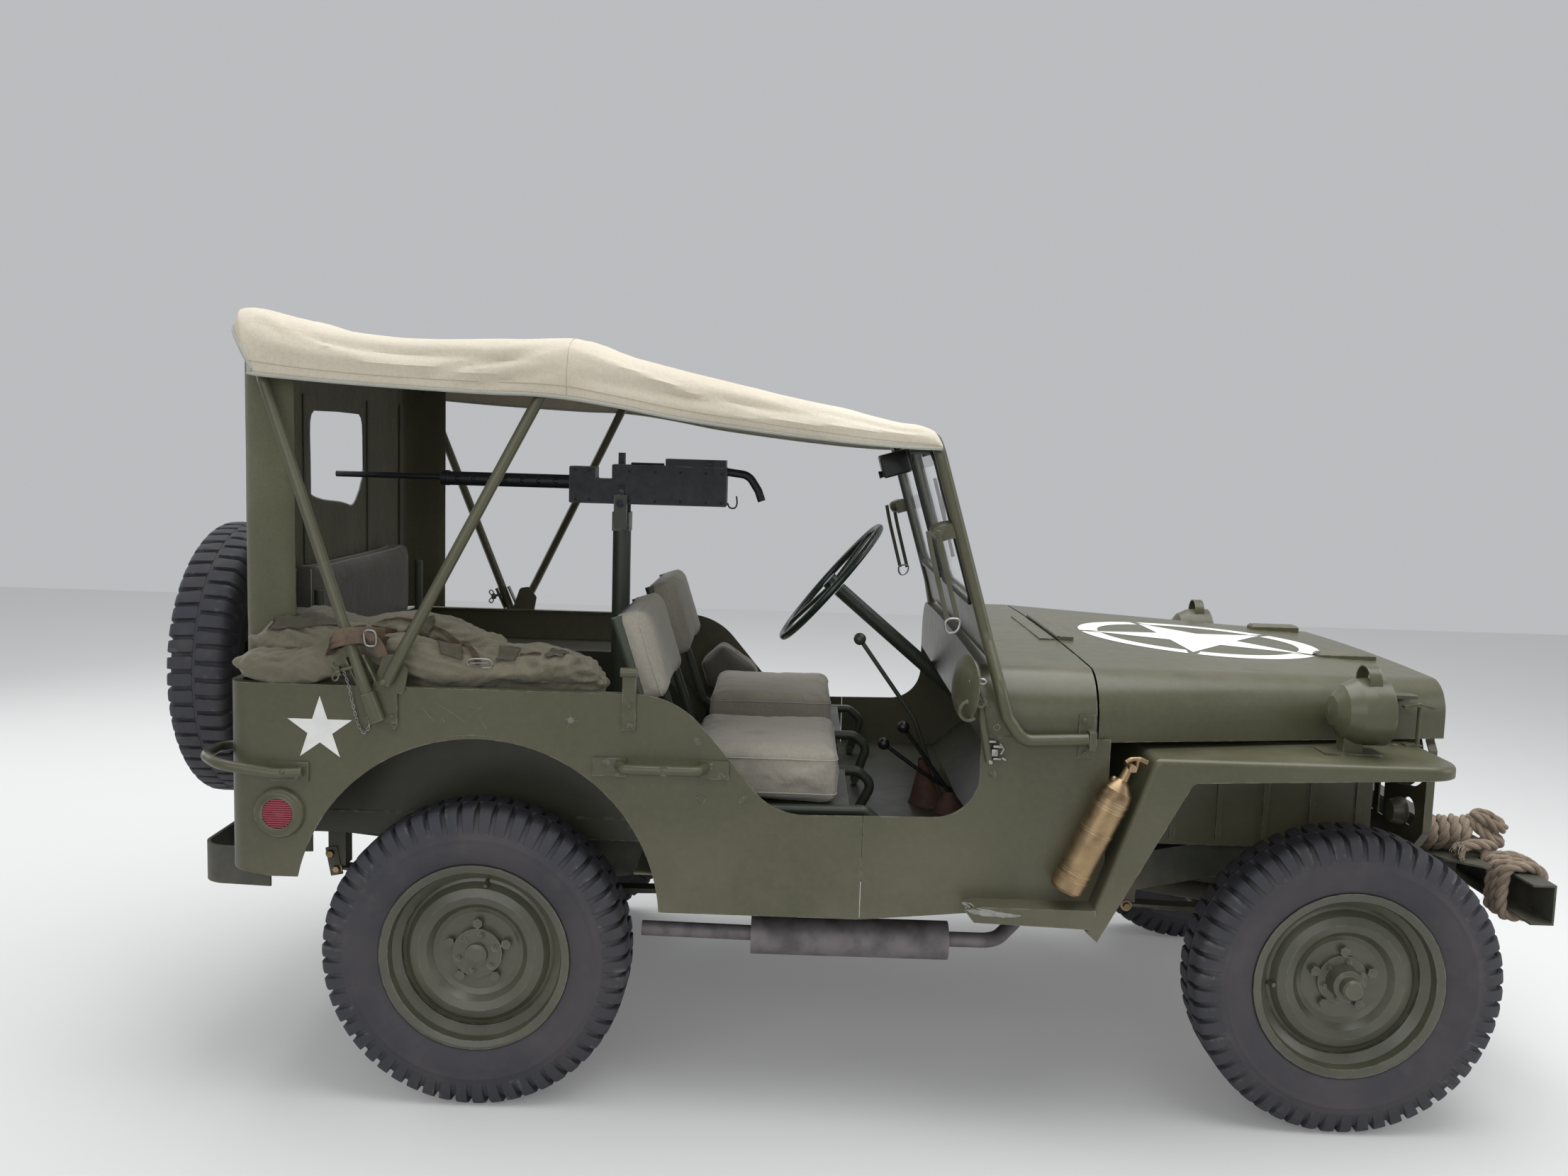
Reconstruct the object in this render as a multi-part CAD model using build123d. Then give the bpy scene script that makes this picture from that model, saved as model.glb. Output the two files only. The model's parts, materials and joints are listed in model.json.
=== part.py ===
from build123d import *
import math
import os

# An army 4x4 car of the quarter-ton type, standing on its wheels with its canvas top up.
# Lengths are millimetres. In this file a station X runs forward from the rear axle, Y runs to
# the car's left and Z up from the ground. save() moves every piece so that the origin lies on
# the ground under the middle of the car's length.

os.makedirs("parts", exist_ok=True)

# Driving dimensions of the whole car
WHEELBASE = 2032
TRACK = 1245
AXLE_Z = 358
SPARE_REAR_X = -807
BUMPER_FRONT_X = 2509
ROPE_D = 28
MID_X = (SPARE_REAR_X + BUMPER_FRONT_X + ROPE_D) / 2
WHEEL_Y = TRACK / 2

# Body shell
BODY_HALF_W = 724
BODY_REAR_X = -557
BODY_SKIN = 4
RAIL_Z = 1000
RAIL_LIP = 22
BODY_SEAM_X = 890
COWL_FRONT_X = 1440
HOOD_SEAM_X = 1410
SILL_Z = 496
FLOOR_Z = 587
REAR_FLOOR_Z = 640
FLOOR_STEP_X = 330
WHEELHOUSE_Y = 470
WHEELHOUSE_Z = 905
WHEELHOUSE_FRONT_X = 440
WHEELHOUSE_TOP_X = 262
ARCH_X, ARCH_Z, ARCH_R = 14, 468, 418
CORNER_R = 55

# Entrance cut-out in each side: rail corner, sill corner, front corner and its fillets
CUT_RAIL_X = 462
CUT_SILL_X = 687
CUT_FRONT_X = 1149
CUT_Z = 733
CUT_RADII = (200, 150, 100)

# Cowl and hood sections: half width, side bottom, top, corner radius
COWL_SECTION = dict(half=722, low=921, top=1084, radius=110, crown=8)
HOOD_REAR = dict(half=718, low=921, top=1084, radius=110, crown=8)
HOOD_FRONT = dict(half=488, low=908, top=1050, radius=80, crown=6)
HOOD_FRONT_X = 2300
HOOD_GAP = 3
HINGE_Z = 1090
HOOD_SKIN = 4

# Lamps in the grille
LAMP_Y, LAMP_Z, MARKER_Z = 385, 850, 700

# Front fenders
FENDER_OUT_Y = 787
FENDER_TOP_Z = 903
FENDER_EDGE_R = 13
FENDER_CORNER_R = 75
FENDER_SKIN = 4
FENDER_REAR_X = 1527
FENDER_FRONT_X = 2212
FENDER_FOOT_X = 1392
FENDER_FOOT_Z = 505
APRON_Y = 402
APRON_FRONT_X = 2176
STEP_REAR_X = 1120
STEP_Z = 555

# Frame
FRAME_HALF = 366
RAIL_W = 50
RAIL_H = 96
FRAME_TOP_MID = 560
FRAME_TOP_REAR = 620
FRAME_TOP_FRONT = 602

# Leaf springs: rear end station and eye height, front end station and eye height
SPRINGS = ((-430, 455, 470, 425), (1590, 425, 2380, 455))
LEAF_T = 7

# Front bumper: a channel open to the rear, with a plate over each rail
BUMPER_Z = 555
BUMPER_HALF_H = 48
BUMPER_HALF_W = 650
BUMPER_DEEP = 55
BUMPER_SKIN = 5
GUSSET_T = 5
CRANK_HOLE_R = 20

# Turns of rope near the right end of the bumper
ROPE_TURNS = 3
ROPE_OUT_Y = -530

# Wheels and tyres
TYRE_R = 358
TYRE_W = 160
RIM_LIP_R = 222
RIM_SEAT_R = 203
WELL_R = 184
CROWN_HALF = 56
RIM_W = 128
BOLT_PCD = 139.7
WHEEL_BOLT_R = 7

# Front seats
SEAT_HALF = 196

# Axles and steering
AXLE_TUBE_R = 36
DIFF_Y = -115
KINGPIN_Y = 548
STEER_ARM = 150
TIE_ARM_Y = 520
STEER_WHEEL_R = 220
STEER_HUB = (830, 350, 1160)
COLUMN_FOOT = (1524, 350, 581)

# Windshield and top
WIND_LOW = (1176, 1088)
WIND_TOP = (1027, 1588)
WIND_HALF = 672
TUBE_R = 14
BOW_FOOT_Y = 744
BOW_HALF = 668
BOW_HEM_Z = 1680
REAR_BOW = dict(foot=(-206, 930), hem_x=-484, top=(-522, 1796))
FRONT_BOW = dict(foot=(-186, 1010), hem_x=150, top=(196, 1752))
CURTAIN_HALF = 645
TOP_SKIN = 5

# Gun display dummy
GUN_Z = 1450
PEDESTAL_X = 238


def save(node, shape):
    moved = Pos(-MID_X, 0, 0) * shape
    moved.label = node
    export_step(moved, "parts/" + node + ".step")


def mirrored(shape):
    return mirror(shape, about=Plane.XZ)


def both_sides(shape):
    return shape + mirrored(shape)


def face_of(points, radii=0):
    return make_face(FilletPolyline(*points, radius=radii, close=True))


def slab_y(face, y_low, y_high):
    """Extrude a face drawn as (X, Z) from y_low to y_high."""
    return extrude(Plane.XZ.offset(-y_high) * face, amount=y_high - y_low)


def slab_x(face, x_low, x_high):
    """Extrude a face drawn as (Y, Z) from x_low to x_high."""
    return extrude(Plane.YZ.offset(x_low) * face, amount=x_high - x_low)


def slab_z(face, z_low, z_high):
    """Extrude a face drawn as (X, Y) from z_low to z_high."""
    return extrude(Plane.XY.offset(z_low) * face, amount=z_high - z_low)


def block(x, y, z):
    """A box given by its lowest and highest X, Y and Z."""
    size = (x[1] - x[0], y[1] - y[0], z[1] - z[0])
    return Pos((x[0] + x[1]) / 2, (y[0] + y[1]) / 2, (z[0] + z[1]) / 2) * Box(*size)


def tube(points, radius, bend):
    """A round bar along points, its corners rounded with the bend radius."""
    radii = bend if isinstance(bend, (list, tuple)) else [bend] * (len(points) - 2)
    path = FilletPolyline(*points, radius=radii) if len(points) > 2 else Line(*points)
    return sweep((path ^ 0) * Circle(radius), path)


def rod(start, end, radius):
    axis = Vector(*end) - Vector(*start)
    plane = Plane(origin=start, z_dir=axis)
    return extrude(plane * Circle(radius), amount=axis.length)


def turned(points, radii=0):
    """Revolve a closed outline of (radius, height) about Z."""
    return revolve(Plane.XZ * face_of(points, radii), Axis.Z)


def on_wheel(shape, x, y, z, outward):
    """Stand a shape made about Z on a side of the car, its +Z pointing outward."""
    return Pos(x, y, z) * Rot(-90 * outward, 0, 0) * shape


def section_arch(half, low, top, radius, crown):
    """Outline in (Y, Z) of a cowl or hood: flat sides, round shoulders, slightly crowned top."""
    right = -half
    shoulder = half - radius
    line = Polyline((half, low), (half, top - crown - radius))
    line += RadiusArc((half, top - crown - radius), (shoulder, top - crown), -radius)
    line += ThreePointArc((shoulder, top - crown), (0, top), (-shoulder, top - crown))
    line += RadiusArc((-shoulder, top - crown), (right, top - crown - radius), -radius)
    line += Polyline((right, top - crown - radius), (right, low), (half, low))
    return make_face(line)


def hood_shell(skin, rear_x, front_x):
    """The tapered hood as a lofted skin, open below and at both ends."""
    def at(x, inset):
        t = (x - HOOD_SEAM_X) / (HOOD_FRONT_X - HOOD_SEAM_X)
        mix = {k: HOOD_REAR[k] + t * (HOOD_FRONT[k] - HOOD_REAR[k]) for k in HOOD_REAR}
        mix["half"] -= inset
        mix["top"] -= inset
        mix["radius"] -= inset
        mix["low"] -= 40 if inset else 0
        return Plane.YZ.offset(x) * section_arch(**mix)
    outer = loft([at(rear_x, 0), at(front_x, 0)])
    inner = loft([at(rear_x - 1, skin), at(front_x + 1, skin)])
    return outer - inner


# Side profile shared by the rear tub and the cowl sides, as one face in (X, Z)
def side_profile():
    outline = face_of(
        [
            (BODY_REAR_X, RAIL_Z),
            (BODY_REAR_X, 568),
            (-455, 553),
            (-300, 553),
            (440, SILL_Z),
            (BODY_SEAM_X, SILL_Z - 1),
            (1130, 518),
            (COWL_FRONT_X, 548),
            (COWL_FRONT_X, 1120),
            (CUT_FRONT_X, 1120),
            (CUT_FRONT_X, RAIL_Z),
        ],
        [0, 12, 20, 0, 0, 0, 0, 0, 0, 0, 0],
    )
    arch = Pos(ARCH_X, ARCH_Z) * Circle(ARCH_R)
    cut = face_of(
        [
            (300, RAIL_Z + 300),
            (300, RAIL_Z),
            (CUT_RAIL_X, RAIL_Z),
            (CUT_SILL_X, CUT_Z),
            (CUT_FRONT_X, CUT_Z + 8),
            (CUT_FRONT_X, RAIL_Z + 300),
        ],
        [0, 0, *CUT_RADII, 0],
    )
    return outline - arch - cut


def body_ring(x_rear, x_front, inset, radius):
    """Plan outline of the tub with rounded rear corners, inset from its outer face."""
    half = BODY_HALF_W - inset
    rear = x_rear + inset
    return face_of([(rear, -half), (x_front, -half), (x_front, half), (rear, half)], [radius, 0, 0, radius])


def make_body_tub():
    ring = body_ring(BODY_REAR_X, BODY_SEAM_X - 0.5, 0, CORNER_R)
    hollow = body_ring(BODY_REAR_X, BODY_SEAM_X + 10, BODY_SKIN, CORNER_R - BODY_SKIN)
    walls = slab_z(ring, SILL_Z - 20, RAIL_Z) - slab_z(hollow, SILL_Z - 30, RAIL_Z + 10)
    walls = walls & slab_y(side_profile(), -BODY_HALF_W - 5, BODY_HALF_W + 5)

    # Rolled lip round the open top of the tub
    lip_out = body_ring(BODY_REAR_X, CUT_RAIL_X - 95, BODY_SKIN - 0.5, CORNER_R)
    lip_in = body_ring(BODY_REAR_X, CUT_RAIL_X, RAIL_LIP, CORNER_R - RAIL_LIP)
    walls += slab_z(lip_out - lip_in, RAIL_Z - 5, RAIL_Z)

    # Floor with the step up to the rear load space, and the wheel houses
    inner = BODY_HALF_W - BODY_SKIN / 2
    floor = block((FLOOR_STEP_X, BODY_SEAM_X - 0.5), (-inner, inner), (FLOOR_Z - BODY_SKIN, FLOOR_Z))
    rear_floor = block(
        (BODY_REAR_X + 2, FLOOR_STEP_X + BODY_SKIN),
        (-WHEELHOUSE_Y - 2, WHEELHOUSE_Y + 2),
        (REAR_FLOOR_Z - BODY_SKIN, REAR_FLOOR_Z),
    )
    riser = block(
        (FLOOR_STEP_X, FLOOR_STEP_X + BODY_SKIN),
        (-inner, inner),
        (FLOOR_Z - BODY_SKIN, REAR_FLOOR_Z),
    )
    house_outline = [
        (BODY_REAR_X + 2, FLOOR_Z - BODY_SKIN),
        (WHEELHOUSE_FRONT_X, FLOOR_Z - BODY_SKIN),
        (WHEELHOUSE_FRONT_X, 690),
        (WHEELHOUSE_TOP_X, WHEELHOUSE_Z),
        (BODY_REAR_X + 2, WHEELHOUSE_Z),
    ]
    house_hollow = [
        (BODY_REAR_X - 5, FLOOR_Z - 30),
        (WHEELHOUSE_FRONT_X - BODY_SKIN, FLOOR_Z - 30),
        (WHEELHOUSE_FRONT_X - BODY_SKIN, 689),
        (WHEELHOUSE_TOP_X - 2, WHEELHOUSE_Z - BODY_SKIN),
        (BODY_REAR_X - 5, WHEELHOUSE_Z - BODY_SKIN),
    ]
    wheelhouse = slab_y(face_of(house_outline), WHEELHOUSE_Y - BODY_SKIN, inner)
    wheelhouse -= slab_y(face_of(house_hollow), WHEELHOUSE_Y, BODY_HALF_W + 5)
    corner_limit = slab_z(body_ring(BODY_REAR_X, BODY_SEAM_X, 1, CORNER_R - 1), 0, RAIL_Z)
    inside = (floor + rear_floor + riser + both_sides(wheelhouse)) & corner_limit
    tub = walls + inside
    tub -= slab_y(Pos(ARCH_X, ARCH_Z) * Circle(ARCH_R - 40), -1000, -WHEELHOUSE_Y - 1)
    tub -= slab_y(Pos(ARCH_X, ARCH_Z) * Circle(ARCH_R - 40), WHEELHOUSE_Y + 1, 1000)
    save("body_tub", tub)


def make_cowl():
    sides = both_sides(slab_y(side_profile(), -BODY_HALF_W, -BODY_HALF_W + BODY_SKIN))
    sides &= block((BODY_SEAM_X + 0.5, COWL_FRONT_X), (-800, 800), (0, 930))

    # Cowl top between the windshield base and the hood seam, with the dash under its rear edge
    top = slab_x(section_arch(**COWL_SECTION), CUT_FRONT_X, HOOD_SEAM_X - HOOD_GAP)
    inner = dict(COWL_SECTION)
    inner.update(half=inner["half"] - BODY_SKIN, top=inner["top"] - BODY_SKIN)
    inner.update(radius=inner["radius"] - BODY_SKIN, low=inner["low"] - 40)
    top -= slab_x(section_arch(**inner), CUT_FRONT_X - 5, HOOD_SEAM_X + 5)
    sides += top
    dash = slab_x(section_arch(722, 921, 1082, 110, 8), CUT_FRONT_X, CUT_FRONT_X + BODY_SKIN)
    sides += dash
    sides += block((CUT_FRONT_X, CUT_FRONT_X + 40), (-700, 700), (918, 922))

    # Floor, sloping toe board and firewall
    inner_y = BODY_HALF_W - BODY_SKIN / 2
    floor = block((BODY_SEAM_X + 0.5, 1200), (-inner_y, inner_y), (FLOOR_Z - BODY_SKIN, FLOOR_Z))
    toe = slab_y(
        face_of([(1198, FLOOR_Z - 4), (1200, FLOOR_Z), (1398, 762), (1402, 762), (1402, 757)]),
        -inner_y,
        inner_y,
    )
    wall_outline = section_arch(720, 755, 1082, 110, 8)
    firewall = slab_x(wall_outline, 1398, 1402)
    cowl = sides + floor + toe + firewall
    cowl -= rod(COLUMN_FOOT, STEER_HUB, 27)
    # Hood hinge leaf on the cowl top and the vent boss beside it
    cowl += block((1362, 1400), (-230, 230), (1080, 1087))
    save("cowl", cowl)


def make_hood():
    hood = hood_shell(HOOD_SKIN, HOOD_SEAM_X + HOOD_GAP, HOOD_FRONT_X)
    front = hood_shell(HOOD_SKIN + 22, HOOD_FRONT_X - 5, HOOD_FRONT_X)
    hood += front
    # Two wooden blocks that the folded windshield rests on, and the catch strips on the sides
    for y, x0, x1 in ((-185, 2100, 2248), (372, 2115, 2255)):
        rest = block((x0, x1), (y - 24, y + 24), (1036, 1068))
        hood += chamfer(rest.edges().group_by(Axis.Z)[-1], 6)
    hood += both_sides(block((2113, 2204), (-545, -500), (1012, 1020)))
    hinge_x = HOOD_SEAM_X + 1
    hood += rod((hinge_x, -230, HINGE_Z), (hinge_x, 230, HINGE_Z), 5)
    hood += block((hinge_x + 1, hinge_x + 40), (-225, 225), (1081, HINGE_Z + 2))
    save("hood", hood)


def make_grille():
    # Pressed panel with nine upright slots, two lamp holes and two small marker holes
    half, low, top = 500, 604, 1030
    panel = slab_x(
        face_of([(-430, low), (430, low), (half, 675), (half, 880), (half - 18, 900), (half - 56, top),
                 (56 - half, top), (18 - half, 900), (-half, 880), (-half, 675)],
                [20, 20, 20, 0, 0, 70, 70, 0, 0, 20]),
        2262,
        2282,
    )
    hollow = slab_x(
        face_of([(-432, low - 30), (432, low - 30), (432, low + 7), (half - 4, 677),
                 (half - 4, 878), (half - 22, 898), (half - 59, top - 4), (59 - half, top - 4),
                 (22 - half, 898), (4 - half, 878), (4 - half, 677), (-432, low + 7)],
                [0, 0, 0, 16, 0, 0, 66, 66, 0, 0, 16, 0]),
        2255,
        2278,
    )
    panel -= hollow
    slots = [Pos(0, i * 58, 815) * Box(60, 30, 330) for i in range(-4, 5)]
    for slot in slots:
        panel -= Pos(2270, 0, 0) * slot
    for side in (-1, 1):
        panel -= Pos(2270, side * LAMP_Y, LAMP_Z) * Rot(0, 90, 0) * Cylinder(84, 60)
        panel -= Pos(2270, side * LAMP_Y, MARKER_Z) * Rot(0, 90, 0) * Cylinder(35, 60)
    save("grille", panel)


def make_radiator():
    """Radiator core and tanks behind the grille, on two feet on the frame rails."""
    core = block((2205, 2243), (-225, 225), (640, 950))
    for low, high in ((612, 642), (948, 1004)):
        tank = block((2198, 2250), (-232, 232), (low, high))
        core += fillet(tank.edges().filter_by(Axis.Y), 8)
    foot = block((2208, 2240), (-352, -200), (FRAME_TOP_FRONT + 0.5, 616))
    save("radiator", core + both_sides(foot))


def make_head_lamps():
    """Two head lamps and two small marker lamps, sunk behind the holes of the grille."""
    lamp = turned([(0, -44), (40, -40), (70, -24), (80, -6), (80, 0), (74, 6), (40, 14), (0, 17)])
    marker = turned([(0, -30), (26, -26), (33, -6), (33, 0), (20, 6), (0, 7)])
    lamps = None
    for side in (-1, 1):
        for z, shape in ((LAMP_Z, lamp), (MARKER_Z, marker)):
            one = Pos(2258, side * LAMP_Y, z) * Rot(0, 90, 0) * shape
            lamps = one if lamps is None else lamps + one
    save("head_lamps", lamps)


def make_fender(side):
    """Flat fender, its lip, the sloping rear plate with the step, and the inner apron (right side)."""
    top_path = [(FENDER_FOOT_X, FENDER_FOOT_Z), (FENDER_REAR_X, FENDER_TOP_Z),
                (FENDER_FRONT_X, FENDER_TOP_Z)]
    outer = face_of(
        [*top_path, (FENDER_FRONT_X, 876), (1612, 851), (FENDER_FOOT_X + 26, FENDER_FOOT_Z - 22)],
        [0, 20, 0, 10, 20, 0],
    )
    under = face_of(
        [(FENDER_FOOT_X + 4, FENDER_FOOT_Z - 30), (FENDER_REAR_X + 4, FENDER_TOP_Z - FENDER_SKIN),
         (FENDER_FRONT_X - 4, FENDER_TOP_Z - FENDER_SKIN), (FENDER_FRONT_X - 4, 600), (1500, 400)],
        [0, 16, 0, 0, 0],
    )

    def rounded(face, inset, in_y):
        """Extrude the profile, round its front corner in plan and its upper outside edge."""
        side_y, front_x, corner = -FENDER_OUT_Y + inset, FENDER_FRONT_X - inset, FENDER_CORNER_R - inset
        plan = face_of([(1200, side_y), (front_x, side_y), (front_x, in_y), (1200, in_y)],
                       [0, corner, 0, 0])
        solid = slab_y(face, side_y, in_y) & slab_z(plan, 300, 1000)
        top = FENDER_TOP_Z - inset
        rim = [e for e in solid.edges() if e.center().Z > 600 and e.bounding_box().max.Z > top - 1
               and e.bounding_box().max.Y < in_y - 1 and e.bounding_box().size.Z < 450]
        rim = [e for e in rim if abs(e.center().Y - side_y) < 60 and e.bounding_box().min.Z > top - 420]
        return fillet(rim, FENDER_EDGE_R - inset)

    shell = rounded(outer, 0, -APRON_Y) - rounded(under, FENDER_SKIN, -APRON_Y + 10)
    shell -= block((1300, COWL_FRONT_X + 2), (-BODY_HALF_W - 0.5, -300), (300, 921))
    apron = slab_y(
        face_of([(COWL_FRONT_X + 2, 601), (APRON_FRONT_X, 601), (APRON_FRONT_X, FENDER_TOP_Z),
                 (COWL_FRONT_X + 2, FENDER_TOP_Z)]),
        -APRON_Y - FENDER_SKIN,
        -APRON_Y,
    )
    for x in range(1560, 2150, 115):
        apron += block((x, x + 14), (-APRON_Y - 10, -APRON_Y - 2), (615, 880))
    shelf = block((COWL_FRONT_X + 2, APRON_FRONT_X), (-500, -APRON_Y),
                  (FENDER_TOP_Z - FENDER_SKIN, FENDER_TOP_Z))
    step = slab_y(
        face_of([(STEP_REAR_X, STEP_Z - 8), (STEP_REAR_X + 26, STEP_Z), (FENDER_FOOT_X + 20, STEP_Z),
                 (FENDER_FOOT_X + 20, STEP_Z - 44), (STEP_REAR_X + 22, STEP_Z - 36)]),
        -FENDER_OUT_Y,
        -BODY_HALF_W - 0.5,
    )
    fender = shell + apron + shelf + step
    save("right_fender" if side < 0 else "left_fender", fender if side < 0 else mirrored(fender))


def frame_rail():
    """One side rail in (X, Z): low between the axles, swept up over both."""
    top = [(-500, FRAME_TOP_REAR), (-260, FRAME_TOP_REAR + 12),
           (150, FRAME_TOP_REAR + 12), (322, FRAME_TOP_MID),
           (1600, FRAME_TOP_MID), (1800, FRAME_TOP_FRONT), (2420, FRAME_TOP_FRONT)]
    low = [(x, z - RAIL_H) for x, z in reversed(top)]
    low[0] = (2420, 530)
    low[-1] = (-500, FRAME_TOP_REAR - 60)
    return face_of(top + low)


def make_frame():
    rail = slab_y(frame_rail(), -FRAME_HALF, -FRAME_HALF + RAIL_W)
    frame = both_sides(rail)
    inner = FRAME_HALF - RAIL_W + 2
    for x, z, w, h in ((-490, 590, 60, 60), (180, 575, 60, 70), (1010, 440, 150, 50), (2330, 560, 50, 60)):
        frame += block((x - w / 2, x + w / 2), (-inner, inner), (z - h / 2, z + h / 2))
    # Body outriggers and spring hangers
    for x, low, high in ((700, 505, 560), (1180, 505, 560)):
        frame += both_sides(block((x - 25, x + 25), (FRAME_HALF - 4, 690), (high - 40, high)))
    (rear_back, _, rear_fore, _), (front_back, _, front_fore, _) = SPRINGS
    for x, low, high in ((rear_back, 463, 560), (rear_fore, 433, 470),
                         (front_back, 433, 470), (front_fore, 463, 560)):
        frame += both_sides(block((x - 22, x + 22), (FRAME_HALF - RAIL_W, FRAME_HALF), (low, high)))
    drop = block((1010 - 75, 1010 + 75), (FRAME_HALF - RAIL_W - 2, FRAME_HALF - RAIL_W + 6), (415, 480))
    frame += both_sides(drop)
    save("frame", frame)


def make_bumpers():
    half, wall = BUMPER_HALF_H, BUMPER_HALF_H - BUMPER_SKIN
    outline = face_of([(0, -half), (BUMPER_DEEP, -half), (BUMPER_DEEP, -wall), (BUMPER_SKIN, -wall),
                       (BUMPER_SKIN, wall), (BUMPER_DEEP, wall), (BUMPER_DEEP, half), (0, half)])
    channel = slab_y(outline, -BUMPER_HALF_W, BUMPER_HALF_W)
    bumper = Pos(BUMPER_FRONT_X, 0, BUMPER_Z) * Rot(0, 0, 180) * channel

    # The plate's front is notched on the right, where the rope goes round the channel
    inner = [(2504, 300), (2420, 316), (2290, 318), (2290, 372), (2330, 475), (2402, 535)]
    notch = [(2421, 535), (2421, 436), (2504, 436)]
    low = BUMPER_Z + BUMPER_HALF_H - 0.5
    for side, outer in ((1, [(2504, 540)]), (-1, notch)):
        plate = slab_z(face_of(inner + outer, 8), low, low + GUSSET_T)
        plate -= Pos(2450, 388, low) * Rot(0, 0, -28) * extrude(SlotOverall(70, 26), 20, both=True)
        for x, y in ((2320, 330), (2320, 360), (2400, 330), (2362, 490)):
            plate -= Pos(x, y, low) * Cylinder(6, 20)
        bumper += plate if side > 0 else mirrored(plate)
    bumper -= Pos(BUMPER_FRONT_X, 0, BUMPER_Z) * Rot(0, 90, 0) * Cylinder(CRANK_HOLE_R, 40)
    save("front_bumper", bumper)

    loop_pts = [(-525, -560), (-697, -545), (-697, -300), (-525, -285)]
    band = make_face(offset(FilletPolyline(*loop_pts, radius=[60, 60]), 4, side=Side.BOTH))
    rear = both_sides(slab_z(band, 472, 565))
    save("rear_bumperettes", rear)


def make_tyre():
    """Tyre out to the tips of its lugs, as (radius, distance from the wheel's middle plane)."""
    side = [(RIM_SEAT_R + 5, 54), (RIM_LIP_R + 1, 59), (RIM_LIP_R + 10, 69), (290, TYRE_W / 2),
            (TYRE_R, CROWN_HALF)]
    return turned([(r, -y) for r, y in side] + side[::-1])


def make_disc():
    """Pressed wheel: drop-centre rim with its lips, and the bulged disc that bolts to the hub."""
    lip = RIM_W / 2
    rim = turned([
        (RIM_LIP_R, -lip), (RIM_LIP_R, -lip + 4), (RIM_SEAT_R + 4, -lip + 8), (RIM_SEAT_R, -36),
        (WELL_R, -22), (WELL_R, 22), (RIM_SEAT_R, 36), (RIM_SEAT_R + 4, lip - 8),
        (RIM_LIP_R, lip - 4), (RIM_LIP_R, lip),
        (RIM_LIP_R - 6, lip), (RIM_SEAT_R, lip - 5), (RIM_SEAT_R - 5, 40), (WELL_R - 4, 25),
        (WELL_R - 4, -25), (RIM_SEAT_R - 5, -40), (RIM_SEAT_R, -lip + 5), (RIM_LIP_R - 6, -lip),
    ])
    outside = [(40, 14), (94, 14), (106, 19), (119, 33), (138, 40), (157, 33), (170, 20), (WELL_R - 2, 16)]
    inside = [(WELL_R - 2, 9), (168, 13), (154, 26), (138, 32), (122, 26), (110, 12), (96, 7), (40, 7)]
    wheel = rim + turned(outside + inside)
    for i in range(5):
        wheel -= Rot(0, 0, 90 + 72 * i) * Pos(BOLT_PCD / 2, 0, 10) * Cylinder(WHEEL_BOLT_R, 30)
    return wheel


def hub(front):
    """Hub with its wheel studs and nuts; the front one has a longer, stepped cap."""
    if front:
        nose = [(58, 8), (58, 22), (40, 24), (36, 60), (25, 64), (25, 86), (20, 92), (0, 92)]
    else:
        nose = [(58, 8), (58, 30), (27, 32), (25, 44), (16, 47), (0, 47)]
    body = turned([(0, -20), (85, -20), (85, 6.5), (39.5, 6.5), (39.5, 14.5), (58, 14.5), *nose[1:]])
    for i in range(5):
        stud = Rot(0, 0, 90 + 72 * i) * Pos(BOLT_PCD / 2, 0, 0)
        body += stud * Pos(0, 0, 15) * Cylinder(6, 30)
        body += stud * Pos(0, 0, 19.5) * extrude(RegularPolygon(12, 6), 10)
    return body


def make_wheels():
    for front in (False, True):
        for side in (-1, 1):
            name = ("front" if front else "rear") + ("_right" if side < 0 else "_left")
            place = (WHEELBASE if front else 0, side * WHEEL_Y, AXLE_Z)
            save(name + "_tyre", on_wheel(make_tyre(), *place, side))
            save(name + "_disc", on_wheel(make_disc() + hub(front), *place, side))


def make_spare():
    centre = Pos(SPARE_REAR_X + TYRE_W / 2, -150, 963) * Rot(0, -90, 0)
    save("spare_tyre", centre * make_tyre())
    # Carrier: a flanged cup bolted to the rear panel that reaches into the wheel's middle
    reach = SPARE_REAR_X + TYRE_W / 2 - BODY_REAR_X + 0.5
    carrier = turned([(0, reach), (75, reach), (75, reach + 6), (52, reach + 10), (42, 0), (82, 0), (82, 6.5),
                      (39, 6.5), (39, 12), (0, 12)])
    nuts = None
    for i in range(5):
        nut = Rot(0, 0, 90 + 72 * i) * Pos(BOLT_PCD / 2, 0, 3) * Cylinder(6, 34)
        nuts = nut if nuts is None else nuts + nut
    save("spare_disc", centre * (make_disc() + carrier + nuts))


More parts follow.
